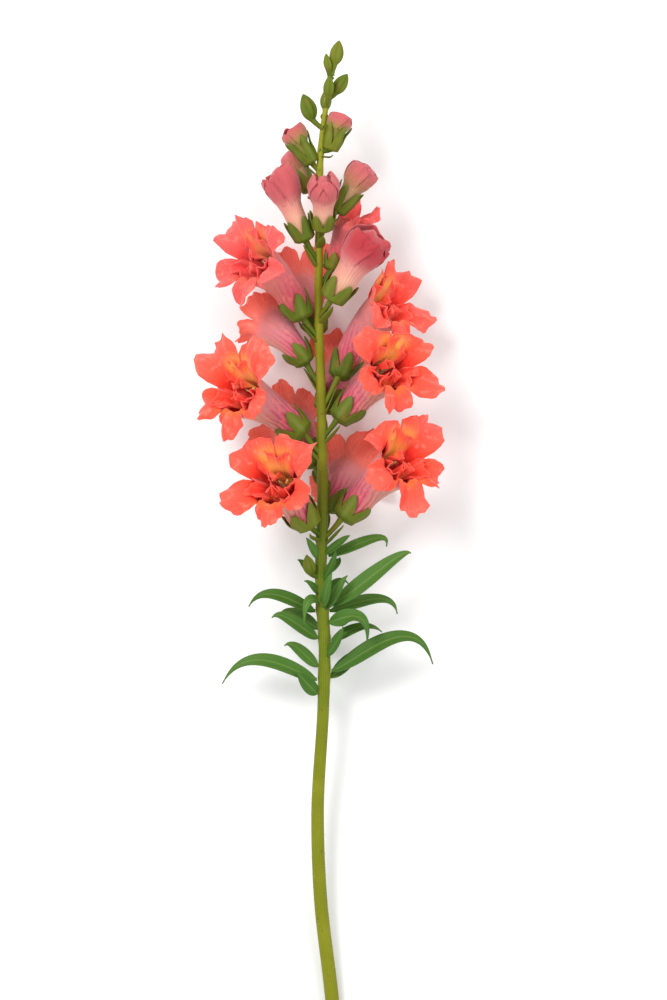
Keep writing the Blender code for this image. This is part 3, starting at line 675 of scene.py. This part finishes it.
def length_limits(own, paths):
    """Longest limb in each direction that stays in the flower's own space."""
    axes, size, openness = bloom_frame(own)
    arc = np.linspace(0, LONGEST_LOBE * size, 40)
    limits = []
    for angle, number, _ in lobe_columns(LIMIT_ANGLES // len(LOBES)):
        radius, forward, _ = limb_profile(angle, number, arc, size, openness)
        least, _ = room(axes.at(angle, radius, axes.length + forward), own, paths)
        tight = np.nonzero(least < -TRESPASS)[0]
        limits.append(arc[tight[0]] if len(tight) else arc[-1])
    limits = np.array(limits)
    low = np.minimum(limits, np.minimum(np.roll(limits, 1), np.roll(limits, -1)))
    smooth = (np.roll(low, 1) + 2 * low + np.roll(low, -1)) / 4
    return np.maximum(smooth, SHORTEST_LOBE * size)


def corolla_sheet(own, paths, phases, sizes, draw):
    """Middle surface of a corolla and how far along it each row lies."""
    axes, size, openness = bloom_frame(own)
    limits = length_limits(own, paths)
    known = [column[0] for column in lobe_columns(LIMIT_ANGLES // len(LOBES))]
    fine = draw.uniform(0, 1, len(LOBES))
    curls = draw.uniform(*RIM_CURL, len(LOBES))
    columns = []
    reaches = []
    for angle, number, share in lobe_columns(COLUMNS_PER_LOBE):
        tube = np.linspace(0, 1, TUBE_ROWS, endpoint=False)
        rows = [(tube_radius(angle, s, size), axes.length * s) for s in tube]
        limit = np.interp(angle, known, limits, period=2 * math.pi)
        frill = 1 + sum(deep * wave(turns * share, fine[number]) for deep, turns in FRILL)
        grown = 1 + (sizes[number] - 1) * math.sin(math.pi * share)
        length = min(lobe_length(number, share) * grown * size, limit) * frill
        arc = np.linspace(0, length, STEPS_PER_ROW * LIMB_ROWS + 1)
        curl = curls[number] * lobe_edge(share)
        radius, forward, turn = limb_profile(angle, number, arc, size, openness, curl)
        for k in range(0, len(arc), STEPS_PER_ROW):
            lift = ruffle(number, share, arc[k] / (REFERENCE_LOBE * size), phases, fine) * size
            out = radius[k] + lift * math.cos(turn[k])
            rows.append((out, axes.length + forward[k] - lift * math.sin(turn[k])))
        columns.append([axes.at(angle, out, ahead) for out, ahead in rows])
        limb = np.linspace(0, length / (REFERENCE_LOBE * size), LIMB_ROWS + 1)
        reaches.append(np.concatenate([tube * 0.5, 0.5 + 0.5 * limb]))
    sheet = np.array(columns).transpose(1, 0, 2)
    sheet[TUBE_ROWS + 1:] = ease_apart(sheet[TUBE_ROWS + 1:], own, paths)
    return press_down(sheet, PETAL / 2), np.array(reaches).T


def petal_thickness(rows):
    """Wall of a petal for each row, thinner towards the rim."""
    return np.linspace(PETAL_LOOK, 0.55 * PETAL_LOOK, rows)


def inner_petal_sheet(own, paths, middle, width, start, reach, rise, draw):
    """A small ruffled petal that stands in the mouth inside the lobes."""
    axes, size, openness = bloom_frame(own)
    columns, rows = 30, 20
    share = np.linspace(-1, 1, columns)
    angles = np.radians(middle + width * share)
    wide = tube_radius(angles, 1.0, size)
    along = np.linspace(0, 1, rows)[:, None]
    low = 1 - 0.3 * np.abs(share) ** 2.5
    phase, second = draw.uniform(0, 2 * math.pi, 2)
    frill = 1.9 * np.sin(5 * share + phase) + 0.8 * np.sin(12 * share + second)
    inside = start * np.interp(along, (0, 0.35, 1), (1.0, 0.97, 1.0))
    radius = wide * inside + size * openness * reach * low * soft_step(along, 0.35, 1.15)
    radius = radius + frill * size * along ** 2
    forward = axes.length * 0.74 + (axes.length * 0.26 + rise * size) * along * low
    sheet = axes.at(np.broadcast_to(angles, radius.shape), radius, forward)
    sheet[5:] = ease_apart(sheet[5:], own, paths)
    return press_down(sheet, PETAL / 2), along, angles


def make_bloom(own, paths, phases, sizes, draw, looks):
    """One open flower: its corolla, its inner petals, its stamens and its style."""
    axes, size, _ = bloom_frame(own)
    sheet, reach = corolla_sheet(own, paths, phases, sizes, draw)
    turn = np.array([column[0] for column in lobe_columns(COLUMNS_PER_LOBE)])
    rosy = ROSY.get(own, 0.0)
    cup = cup_solid(sheet, petal_thickness(len(sheet)))
    piece = Piece()
    piece.add_shell(cup, reach.shape, reach=reach, turn=turn, tint=draw.uniform(), rib=rosy)
    shrink = PRESSED if axes.faces[2] < 0 else 1.0
    for middle, *spec in INNER_PETALS:
        spec = [shrink * value for value in spec]
        blade, along, angles = inner_petal_sheet(own, paths, middle, *spec, draw)
        piece.add_shell(
            slab_solid(blade, petal_thickness(len(blade))),
            blade.shape[:2],
            reach=0.42 + 0.36 * along,
            turn=angles,
            inner=1.0,
            tint=draw.uniform(),
            rib=rosy,
        )
    piece.make(own + "_petals", looks["petal"], "petal_coral", own)
    make_stamens(own, axes, size, draw, looks)


def make_stamens(own, axes, size, draw, looks):
    """Four stamens with pale anthers, and the style between them."""
    piece = Piece()
    share = np.linspace(0, 1, 13)
    for k, sideways in enumerate(STAMENS):
        long = 0.78 + 0.1 * (k % 3 == 0) + draw.uniform(-0.03, 0.03)
        turn = np.full(13, math.atan2(sideways, STAMEN_HEIGHT))
        out = math.hypot(sideways, STAMEN_HEIGHT) * size * (0.4 + 0.6 * share)
        path = axes.at(turn, out, 0.6 + axes.length * long * share)
        piece.add(tube_solid(path, np.full(13, THREAD), 8), tint=0.2)
        end = unit(path[-1] - path[-2])
        head = path[-1] + end * np.linspace(-0.9, 0.9, 7)[:, None]
        swell = ANTHER * np.sin(np.linspace(0.15, math.pi - 0.15, 7)) ** 0.6
        piece.add(tube_solid(head, swell, 10), tint=1.0)
    path = axes.at(np.zeros(13), 2.4 * size * share, 0.6 + axes.length * 0.95 * share)
    piece.add(tube_solid(path, np.linspace(0.5, 0.32, 13), 8), tint=0.0)
    piece.make(own + "_stamens", looks["stamen"], "petal_coral")


def bud_radius(angle, share, radius):
    """Radius of a coloured bud: a narrow tube, then the closed lips with a groove between."""
    knots, widths = zip(*BUD_PROFILE)
    wide = smooth_through(share, knots, np.array(widths) * radius)
    groove = np.exp(-((np.cos(angle) + 0.15) / 0.25) ** 2) * np.clip(share - 0.5, 0, 1) * 0.5
    return wide * (1 - groove)


def bud_lip(axes, radius, parting, middle, width, start, lift, draw):
    """One lip folded over a bud: a thin shell, twisted a little, with a ruffled free edge."""
    columns, rows = 44, 26
    across = np.linspace(-1, 1, columns)
    rise = np.linspace(0, 1, rows)[:, None]
    twist = draw.uniform(10, 45) * math.copysign(1, math.sin(math.radians(middle + 1)))
    angles = np.radians(middle + width * across + twist * rise ** 2)
    share = start + (draw.uniform(0.86, 1.0) - start) * rise * (1 - 0.12 * np.abs(across) ** 3)
    phase, second = draw.uniform(0, 2 * math.pi, 2)
    wave_out = np.sin(3.2 * across + phase) + 0.4 * np.sin(8 * across + second)
    free = np.abs(across) ** 4 * rise
    wide = bud_radius(angles, share, radius) - 0.4 + 0.6 * soft_step(rise, 0.0, 0.35)
    wide = wide + lift * soft_step(rise, 0.0, 0.8)
    wide = wide + parting * (1.2 * free + 0.9 * wave_out * rise ** 3)
    forward = axes.length * share + (1.5 * lift + parting * wave_out) * rise ** 3
    sheet = axes.at(angles, np.maximum(wide, 0.3), forward)
    return slab_solid(sheet, np.linspace(0.5, 0.35, rows)), angles, share


def make_bud(name, looks, draw):
    """A coloured bud: a closed core with the lips folded over it."""
    _, base, tip, radius, parting, cover = BUDS[name]
    axes = Frame(base, tip)
    angles = round_turn(96)
    first = draw.uniform(0, 2 * math.pi)
    shares = np.linspace(0, 1, 60) ** 0.9
    rings = []
    for share in shares:
        wide = bud_radius(angles, share, radius)
        fold = 0.05 * np.sin(3 * angles + first + 4 * share) + 0.03 * np.sin(7 * angles - first)
        wide = wide * (1 + fold * soft_step(share, 0.2, 0.7))
        lean = np.cos(angles) * parting * BUD_LEAN * max(share - 0.6, 0)
        rings.append(axes.at(angles, wide, axes.length * share + lean))
    piece = Piece()
    tags = {"tint": (cover - BARE_COVER) / (FULL_COVER - BARE_COVER), "rib": parting}
    piece.add_rings(lathe_solid(np.array(rings)), shares, angles, **tags)
    for middle, width, start, shut, parted in BUD_LIPS:
        lift = shut + parted * parting
        lip, turn, reach = bud_lip(axes, radius, parting, middle, width, start, lift, draw)
        piece.add_shell(lip, reach.shape, reach=reach, turn=turn, **tags)
    piece.make(name + "_petals", looks["bud"], "bud_pink", name)


def calyx_piece(piece, axes, wall, scale, length, draw):
    """Five pointed sepals that cup the base of a flower whose wall is a radius function."""
    columns, rows = 80, 16
    angles = round_turn(columns)
    across = (angles * 5 / (2 * math.pi) + 0.5) % 1 * 2 - 1
    shape = 1 - np.abs(across) ** 1.5
    reach = length * (0.1 + 0.9 * shape)
    low = CALYX_FLOOR + 0.7
    ring = [axes.at(angles, np.full(columns, 1.4), np.full(columns, CALYX_FLOOR - 0.5))]
    ring.append(axes.at(angles, np.full(columns, 3.3), np.full(columns, CALYX_FLOOR - 0.1)))
    for share in np.linspace(0, 1, rows - 2):
        forward = low + (reach - low) * share
        wide = wall(angles, np.clip(forward, 0, None) / axes.length, scale) + CALYX_CLEAR
        wide = wide + 0.3 * shape * share ** 0.5 + 0.4 * shape * share ** 3
        ring.append(axes.at(angles, wide, forward))
    cup = cup_solid(press_down(np.array(ring), SEPAL / 2), np.linspace(0.9, 0.5, rows))
    piece.add_shell(cup, (rows, columns), rib=shape, tint=draw.uniform())


def pedicel_piece(piece, node, axes, sink, draw):
    """The short stalk from the stem to a little past the base of a flower."""
    start = stalk_point(node)
    end = axes.base + axes.axis * sink
    control = (start + end) / 2 - TIPWARDS * PEDICEL_SAG
    share = np.linspace(0, 1, 16)[:, None]
    path = curve(share, start, control, end)
    radii = np.interp(share[:, 0], *zip(*PEDICEL_RADII))
    piece.add(tube_solid(path, radii, 16), tint=draw.uniform())


def blade_sheet(root, out, crest, tip, width, facing, rows, columns, waves=0.0):
    """A pointed blade, folded a little along its midrib, that leaves its root outwards."""
    share = np.linspace(0, 1, rows)[:, None]
    first = root + out * np.linalg.norm(crest - root) * 0.3
    second = (8 * crest - root - tip - 3 * first) / 3
    spine = curve(share, root, first, second, tip)
    tangents = unit(np.gradient(spine, axis=0))
    side = unit(np.cross(tangents, unit(np.asarray(facing, float))))
    face = np.cross(side, tangents)
    half = width / 2 * np.sin(math.pi * share ** 0.8) ** 1.05
    half = np.maximum(half, curve(share, BLADE_ROOT / 2, BLADE_TIP))
    across = np.linspace(-1, 1, columns)[None, :]
    rise = BLADE_FOLD * half * np.abs(across) ** 1.3 + 0.1 * half * (1 - np.abs(across)) ** 6
    rise = rise + waves * half * np.abs(across) ** 2 * np.sin(9 * share + 1.5 * np.sign(across))
    sheet = spine[:, None] + side[:, None] * (half * across)[..., None]
    return sheet + face[:, None] * rise[..., None], share, across


def add_blade(piece, draw, *spec):
    """Add a leaf blade with the numbers that its material reads."""
    sheet, share, across = blade_sheet(*spec)
    solid = slab_solid(sheet, np.linspace(BLADE_LOOK, 0.6 * BLADE_LOOK, len(sheet)))
    piece.add_shell(solid, sheet.shape[:2], reach=share, rib=across, tint=draw.uniform())


def bract_piece(piece, node, axes, draw):
    """The small pointed leaf under a pedicel, which stays below the calyx."""
    start = stalk_point(node)
    reach = axes.base - start
    along = unit(reach)
    below = along * along[1] - TIPWARDS
    out = unit(reach * np.array([1, 0, 1]))
    root = stalk_point(node - 3) + out * 0.5
    tip = start + reach * BRACT_REACH + below * BRACT_DROP
    crest = (root + tip) / 2 + below * 1.0
    add_blade(piece, draw, root, out, crest, tip, BRACT_WIDTH, along - below, 14, 9)


def tip_bud_piece(piece, node, base, tip, radius, draw):
    """A green bud: five closed sepals whose edges meet in ridges over an egg."""
    axes = Frame(base, tip)
    pedicel_piece(piece, node, axes, PEDICEL_SINK, draw)
    angles = round_turn(60)
    ridge = 0.9 + 0.1 * np.cos(5 * angles)
    seam = 0.09 * np.exp(-((np.cos(5 * angles) + 1) / 0.12))
    rings = []
    for share in np.linspace(0.02, 1, 26):
        wide = radius * math.sin(math.pi * min(share, 0.995) ** 0.85) ** 0.7 * (ridge - seam)
        forward = axes.length * (share * 0.97 + 0.12 * share * (ridge - 0.9))
        rings.append(axes.at(angles, np.maximum(wide, 0.25), forward))
    piece.add(lathe_solid(np.array(rings)), tint=draw.uniform())


def leaf_piece(piece, draw, gap, along, crest, tip, width, facing, *grid):
    """A leaf, a gap away from the stalk on the side that its crest lies."""
    crest = place(crest)
    middle = stalk_point(along)
    out = unit((crest - middle) * (1, 0, 1))
    root = middle + out * (stalk_radius(along) + gap)
    add_blade(piece, draw, root, out, crest, place(tip), width, facing, *grid)


def make_stalk(looks):
    """The main stalk, faintly ribbed, swollen at its nodes, with a plain cut end."""
    rings, sides = 420, 40
    along = np.linspace(STALK[0][0], STALK[-1][0], rings)
    turn = round_turn(sides)
    radii = stalk_radius(along)[:, None] * np.ones(sides)
    radii = radii * (1 + STALK_RIBS * np.cos(4 * turn + along[:, None] / 60))
    for node, *_ in (*BLOOMS.values(), *BUDS.values(), *LEAVES.values()):
        radii = radii + NODE_SWELL * np.exp(-((along[:, None] - node) / NODE_REACH) ** 2)
    solid = tube_solid(stalk_point(along), radii[..., None], sides)
    cut = np.concatenate([np.zeros(rings * sides), (1.0, 0.0)])
    piece = Piece()
    piece.add_rings(solid, along / STALK[-1][0], turn, inner=cut)
    piece.make("stalk", looks["stalk"], "stem_green", "stem")


def make_hairs(looks, draw):
    """Fine short hairs along the stalk, denser towards the flowers."""
    piece = Piece()
    for _ in range(HAIRS):
        along = STALK[-1][0] * draw.uniform(0.03, 1) ** 0.8
        angle = draw.uniform(0, 2 * math.pi)
        out = np.array([math.cos(angle), 0.25, math.sin(angle)])
        root = stalk_point(along) + out * (stalk_radius(along) - 0.1)
        root[2] = max(root[2], 0.1)
        long = draw.uniform(0.35, 0.9)
        path = [root, root + out * long * 0.6, root + out * long]
        piece.add(tube_solid(path, HAIR_RADII, 4))
    piece.make("hairs", looks["hair"], "stem_green")


def make_greens(looks, draw):
    """Pedicels, calyxes, bracts, green buds and small leaves."""
    seats = []
    for name, (node, *_) in BLOOMS.items():
        axes, size, _ = bloom_frame(name)
        seats.append((node, axes, tube_radius, size, CALYX_REACH * size))
    for node, base, tip, radius, _, cover in BUDS.values():
        axes = Frame(base, tip)
        seats.append((node, axes, bud_radius, radius, cover * axes.length))
    greens = Piece()
    for node, axes, wall, scale, reach in seats:
        pedicel_piece(greens, node, axes, CALYX_FLOOR, draw)
        calyx_piece(greens, axes, wall, scale, reach, draw)
        bract_piece(greens, node, axes, draw)
    for bud in TIP_BUDS:
        tip_bud_piece(greens, *bud, draw)
    greens.make("calyxes", looks["green"], "stem_green")
    small = Piece()
    for leaf in LEAFLETS:
        leaf_piece(small, draw, LEAFLET_GAP, *leaf, LEAFLET_FACE, 24, 11)
    small.make("small_leaves", looks["leaf"], "leaf_green")


def make_leaves(looks, draw):
    """The larger leaves, each with its midrib, waved edges and drawn-out tip."""
    for name, leaf in LEAVES.items():
        piece = Piece()
        leaf_piece(piece, draw, LEAF_GAP, *leaf, 60, 17, LEAF_WAVES)
        piece.make(name + "_blade", looks["leaf"], "leaf_green", name)


class Look:
    """A material's node tree, with short calls for the nodes that these looks need."""

    def __init__(self, name, rough, subsurface=0.0, sheen=0.0):
        self.material = bpy.data.materials.new(name)
        self.material.use_nodes = True
        self.nodes = self.material.node_tree.nodes
        self.links = self.material.node_tree.links
        self.shader = self.nodes["Principled BSDF"]
        for setting, value in {
            "Roughness": rough,
            "Specular IOR Level": GLARE,
            "Subsurface Weight": subsurface,
            "Subsurface Scale": 0.002,
            "Subsurface Radius": (1.0, 0.35, 0.25),
            "Sheen Weight": sheen,
        }.items():
            self.shader.inputs[setting].default_value = value

    def put(self, socket, value):
        """Set a socket to a number, a colour or another socket."""
        if isinstance(value, bpy.types.NodeSocket):
            self.links.new(value, socket)
        elif isinstance(value, tuple):
            socket.default_value = (*value, 1.0)
        else:
            socket.default_value = value

    def add(self, kind, inputs, **settings):
        """The outputs of a new node with these settings and inputs."""
        node = self.nodes.new("ShaderNode" + kind)
        for name, value in settings.items():
            setattr(node, name, value)
        for socket, value in inputs.items():
            self.put(node.inputs[socket], value)
        return node.outputs

    def tag(self, name):
        """A number that the mesh carries."""
        return self.add("Attribute", {}, attribute_name=name)["Fac"]

    def math(self, kind, first, second=0.0, third=0.0):
        """One arithmetic step."""
        return self.add("Math", {0: first, 1: second, 2: third}, operation=kind)[0]

    def times(self, first, second):
        """One number times another."""
        return self.math("MULTIPLY", first, second)

    def between(self, value, low, high):
        """Rises smoothly from 0 at low to 1 at high."""
        inputs = {"Value": value, "From Min": low, "From Max": high}
        return self.add("MapRange", inputs, interpolation_type="SMOOTHSTEP")["Result"]

    def noise(self, scale, detail=3.0, rough=0.55):
        """Noise over the plant, with features of about 1/scale metres."""
        where = self.add("TexCoord", {})["Object"]
        inputs = {"Scale": scale, "Detail": detail, "Roughness": rough, "Vector": where}
        return self.add("TexNoise", inputs)["Fac"]

    def mix(self, share, first, second):
        """A colour between two."""
        inputs = {"Factor": share, 6: first, 7: second}
        return self.add("Mix", inputs, data_type="RGBA", clamp_factor=True)[2]

    def over(self, base, colour, share, strength):
        """A colour laid over another, as strongly as a share times a strength."""
        return self.mix(self.times(share, strength), base, colour)

    def ramp(self, share, *stops):
        """A colour ramp with places and colours."""
        node = self.nodes.new("ShaderNodeValToRGB")
        self.put(node.inputs["Fac"], share)
        marks = node.color_ramp.elements
        while len(marks) < len(stops):
            marks.new(0.5)
        for mark, (position, colour) in zip(marks, stops):
            mark.position = position
            mark.color = (*colour, 1.0)
        return node.outputs["Color"]

    def veins(self, count, wobble, sharp):
        """Thin lines that run along a petal, from its angle round the tube."""
        bend = self.times(self.noise(140.0, 2.0), wobble)
        angle = self.math("MULTIPLY_ADD", self.tag("turn"), float(count), bend)
        line = self.math("ABSOLUTE", self.math("COSINE", angle))
        return self.math("POWER", line, sharp)

    def bump(self, height, strength, distance):
        """Relief of the surface."""
        relief = self.add("Bump", {"Strength": strength, "Distance": distance, "Height": height})
        self.links.new(relief["Normal"], self.shader.inputs["Normal"])

    def below(self):
        """1 on the lower side of a tube, 0 on its flanks and -1 on its upper side."""
        return self.times(self.math("COSINE", self.tag("turn")), -1.0)

    def finish(self, colour):
        """Give the shader its colour and return the material."""
        self.links.new(colour, self.shader.inputs["Base Color"])
        return self.material


def petal_look():
    """Corolla: coral limb with painted pink highlight patches, yellow palate, a deep red throat
    darkened partly by painted shade, and a dusty pink streaked tube.
    """
    look = Look("petal_coral", 0.6, 0.12, 0.15)
    reach = look.tag("reach")
    below = look.below()
    patch = look.noise(90.0)
    # The inner face runs from the throat to the rim; its deep red in the throat and tube is partly
    # the flower's own colour and partly painted shade in the hollow
    face = look.ramp(
        reach,
        (0.0, (0.55, 0.10, 0.02)),
        (0.36, (0.52, 0.012, 0.003)),
        (0.50, (0.80, 0.018, 0.006)),
        (0.64, (0.94, 0.070, 0.028)),
        (0.82, (0.96, 0.115, 0.072)),
        (1.0, (0.98, 0.18, 0.135)),
    )
    face = look.over(face, (0.96, 0.062, 0.045), patch, 0.5)
    ridge = look.times(look.between(reach, 0.48, 0.54), look.between(reach, 0.72, 0.58))
    low = look.times(look.between(below, 0.55, 0.9), ridge)
    face = look.over(face, (0.94, 0.26, 0.03), low, 0.55)
    high = look.times(look.between(below, -0.72, -0.96), look.between(reach, 0.78, 0.56))
    face = look.mix(high, face, (0.94, 0.50, 0.09))
    back = look.ramp(
        reach,
        (0.0, (0.46, 0.07, 0.10)),
        (0.14, (0.56, 0.14, 0.18)),
        (0.32, (0.62, 0.24, 0.26)),
        (0.46, (0.68, 0.25, 0.25)),
        (0.57, (0.92, 0.22, 0.17)),
        (0.75, (0.98, 0.19, 0.13)),
        (1.0, (1.0, 0.20, 0.14)),
    )
    tube = look.between(reach, 0.52, 0.40)
    tan = look.times(look.between(below, 0.1, 0.9), tube)
    back = look.over(back, (0.66, 0.36, 0.24), tan, 0.75)
    streak = look.times(look.veins(9, 6.0, 5.0), look.between(reach, 0.46, 0.05))
    back = look.over(back, (0.44, 0.03, 0.11), streak, 0.85)
    colour = look.mix(look.tag("inner"), back, face)
    colour = look.over(colour, (0.78, 0.11, 0.13), look.tag("rib"), 0.6)
    veins = look.veins(30, 9.0, 10.0)
    colour = look.over(colour, (0.82, 0.045, 0.035), veins, 0.26)
    # Painted highlight: paler pink patches at random, standing for the pinkish sheen that the light
    # gives the petals
    pink_highlight = look.between(look.noise(260.0), 0.52, 0.72)
    colour = look.over(colour, (1.0, 0.30, 0.22), pink_highlight, 0.35)
    look.bump(look.math("ADD", look.times(veins, 0.6), look.noise(900.0)), 0.4, 0.0004)
    return look.finish(colour)


def bud_look():
    """Closed petals: cream base, dusty pink hood, crimson lips; greener when young."""
    look = Look("bud_pink", 0.6, 0.1, 0.2)
    reach = look.tag("reach")
    patch = look.noise(160.0)
    colour = look.ramp(
        reach,
        (0.0, (0.50, 0.36, 0.14)),
        (0.30, (0.72, 0.44, 0.30)),
        (0.50, (0.70, 0.30, 0.25)),
        (0.62, (0.52, 0.11, 0.125)),
        (1.0, (0.42, 0.06, 0.075)),
    )
    colour = look.over(colour, (0.64, 0.16, 0.15), patch, 0.5)
    green = look.times(look.tag("tint"), look.between(reach, 0.92, 0.5))
    colour = look.mix(green, colour, (0.22, 0.24, 0.035))
    below = look.below()
    ripe = look.times(look.between(look.tag("rib"), 0.5, 0.8), look.between(reach, 0.5, 0.8))
    ripe = look.times(ripe, look.between(below, -0.95, -0.3))
    colour = look.over(colour, (0.40, 0.02, 0.03), ripe, 0.9)
    edge = look.between(reach, 0.84, 0.97)
    colour = look.over(colour, (0.80, 0.22, 0.22), edge, 0.25)
    veins = look.veins(14, 7.0, 8.0)
    colour = look.over(colour, (0.50, 0.04, 0.07), veins, 0.25)
    look.bump(look.math("ADD", veins, look.noise(1500.0)), 0.3, 0.0002)
    return look.finish(colour)


def green_look():
    """Sepals, pedicels and bracts: olive, redder in places, paler at the seams."""
    look = Look("calyx_green", 0.6, 0.04)
    patch = look.noise(220.0)
    colour = look.mix(look.tag("tint"), (0.075, 0.125, 0.007), (0.15, 0.18, 0.012))
    warm = look.between(patch, 0.5, 0.75)
    colour = look.over(colour, (0.24, 0.11, 0.02), warm, 0.5)
    pale = look.between(look.tag("rib"), 0.7, 1.0)
    colour = look.over(colour, (0.32, 0.36, 0.10), pale, 0.15)
    look.bump(look.noise(1600.0), 0.35, 0.0002)
    return look.finish(colour)


def stalk_look():
    """The stalk: yellow-green, darker and fresher below, with faint lengthwise streaks."""
    look = Look("stem_green", 0.55, 0.04)
    along = look.tag("reach")
    colour = look.ramp(
        along,
        (0.0, (0.19, 0.20, 0.003)),
        (0.30, (0.16, 0.18, 0.002)),
        (0.46, (0.065, 0.12, 0.001)),
        (0.60, (0.14, 0.15, 0.002)),
        (0.85, (0.25, 0.23, 0.006)),
        (1.0, (0.28, 0.30, 0.02)),
    )
    lit = look.between(look.noise(60.0), 0.4, 0.7)
    colour = look.over(colour, (0.32, 0.33, 0.02), lit, 0.25)
    colour = look.over(colour, (0.34, 0.36, 0.04), look.veins(11, 4.0, 6.0), 0.25)
    spot = look.between(look.noise(420.0, 1.0), 0.70, 0.78)
    colour = look.over(colour, (0.16, 0.08, 0.02), spot, 0.6)
    colour = look.mix(look.tag("inner"), colour, (0.42, 0.46, 0.20))
    look.bump(look.noise(1400.0), 0.25, 0.0002)
    return look.finish(colour)


def leaf_look():
    """Leaf: deep green face with a pale midrib, and a greyer, paler back."""
    look = Look("leaf_green", 0.55, 0.04)
    patch = look.noise(120.0)
    colour = look.mix(look.tag("tint"), (0.030, 0.105, 0.006), (0.062, 0.165, 0.020))
    colour = look.over(colour, (0.10, 0.20, 0.035), patch, 0.35)
    side = look.math("ABSOLUTE", look.tag("rib"))
    rib = look.between(side, 0.16, 0.02)
    colour = look.over(colour, (0.22, 0.34, 0.08), rib, 0.3)
    slant = look.math("MULTIPLY_ADD", look.tag("reach"), 70.0, look.times(side, -9.0))
    nerve = look.math("POWER", look.math("ABSOLUTE", look.math("COSINE", slant)), 16.0)
    colour = look.over(colour, (0.22, 0.36, 0.12), nerve, 0.14)
    colour = look.over(colour, (0.085, 0.17, 0.055), look.tag("inner"), 0.6)
    look.bump(look.math("ADD", nerve, look.noise(900.0)), 0.25, 0.00025)
    return look.finish(colour)


def stamen_look():
    """Filaments and style in pale green, anthers in soft yellow."""
    look = Look("stamen", 0.5, 0.1)
    colour = look.mix(look.tag("tint"), (0.62, 0.62, 0.34), (0.85, 0.55, 0.16))
    look.bump(look.noise(2500.0), 0.3, 0.0001)
    return look.finish(colour)


def hair_look():
    """Short clear hairs with a little green in them."""
    look = Look("hair", 0.4, 0.2)
    colour = look.mix(look.noise(300.0), (0.42, 0.46, 0.22), (0.62, 0.62, 0.40))
    return look.finish(colour)


def floor_look():
    """The pale surface."""
    look = Look("floor", 0.9)
    colour = look.mix(look.noise(6.0), (0.90, 0.90, 0.90), (0.92, 0.92, 0.92))
    return look.finish(colour)


def make_stage():
    """The pale surface, the soft lights and the camera straight above."""
    mesh = bpy.data.meshes.new("floor")
    corners = [(x * FLOOR_REACH, y * FLOOR_REACH, 0) for x, y in ((-1, -1), (1, -1), (1, 1), (-1, 1))]
    mesh.from_pydata(corners, [], [(0, 1, 2, 3)])
    mesh.materials.append(floor_look())
    floor = add_object("floor", mesh)
    world = bpy.data.worlds.new("world")
    world.use_nodes = True
    room_light = world.node_tree.nodes["Background"]
    room_light.inputs["Color"].default_value = (1, 1, 1, 1)
    room_light.inputs["Strength"].default_value = ROOM_LIGHT
    bpy.context.scene.world = world
    bpy.context.scene.view_settings.view_transform = "Standard"
    for name, (where, wide, power) in LIGHTS.items():
        lamp = bpy.data.lights.new(name, "AREA")
        lamp.size = wide
        lamp.energy = power
        light = add_object(name, lamp)
        light.location = where
        across, along, above = where
        tilt = math.acos(above / math.sqrt(across ** 2 + along ** 2 + above ** 2))
        light.rotation_euler = (tilt, 0, math.atan2(across, -along))
    lens = bpy.data.cameras.new("camera")
    lens.sensor_fit = "VERTICAL"
    lens.sensor_height = 24.0
    lens.lens = lens.sensor_height * VIEW_DISTANCE / (PHOTO_SIZE[1] * PIXEL)
    lens.clip_end = 10.0
    camera = add_object("camera", lens)
    camera.location = (np.array(VIEW_MIDDLE) - ORIGIN + (0, 0, VIEW_DISTANCE)) * MM
    bpy.context.scene.camera = camera


STALK_PATH = stalk_point(np.linspace(STALK[0][0], STALK[-1][0], 40))


def main():
    """The stage, then the whole plant."""
    make_stage()
    looks = {
        "petal": petal_look(),
        "bud": bud_look(),
        "green": green_look(),
        "stalk": stalk_look(),
        "leaf": leaf_look(),
        "stamen": stamen_look(),
        "hair": hair_look(),
    }
    paths = flower_paths()
    broad = np.random.default_rng(SEED)
    fine = np.random.default_rng(SEED + 1)
    make_stalk(looks)
    make_greens(looks, fine)
    make_leaves(looks, fine)
    for name in BLOOMS:
        phases = broad.uniform(0, 1, len(LOBES))
        sizes = broad.uniform(*LOBE_SPREAD, len(LOBES))
        make_bloom(name, paths, phases, sizes, fine, looks)
    for name in BUDS:
        make_bud(name, looks, fine)
    make_hairs(looks, fine)


main()
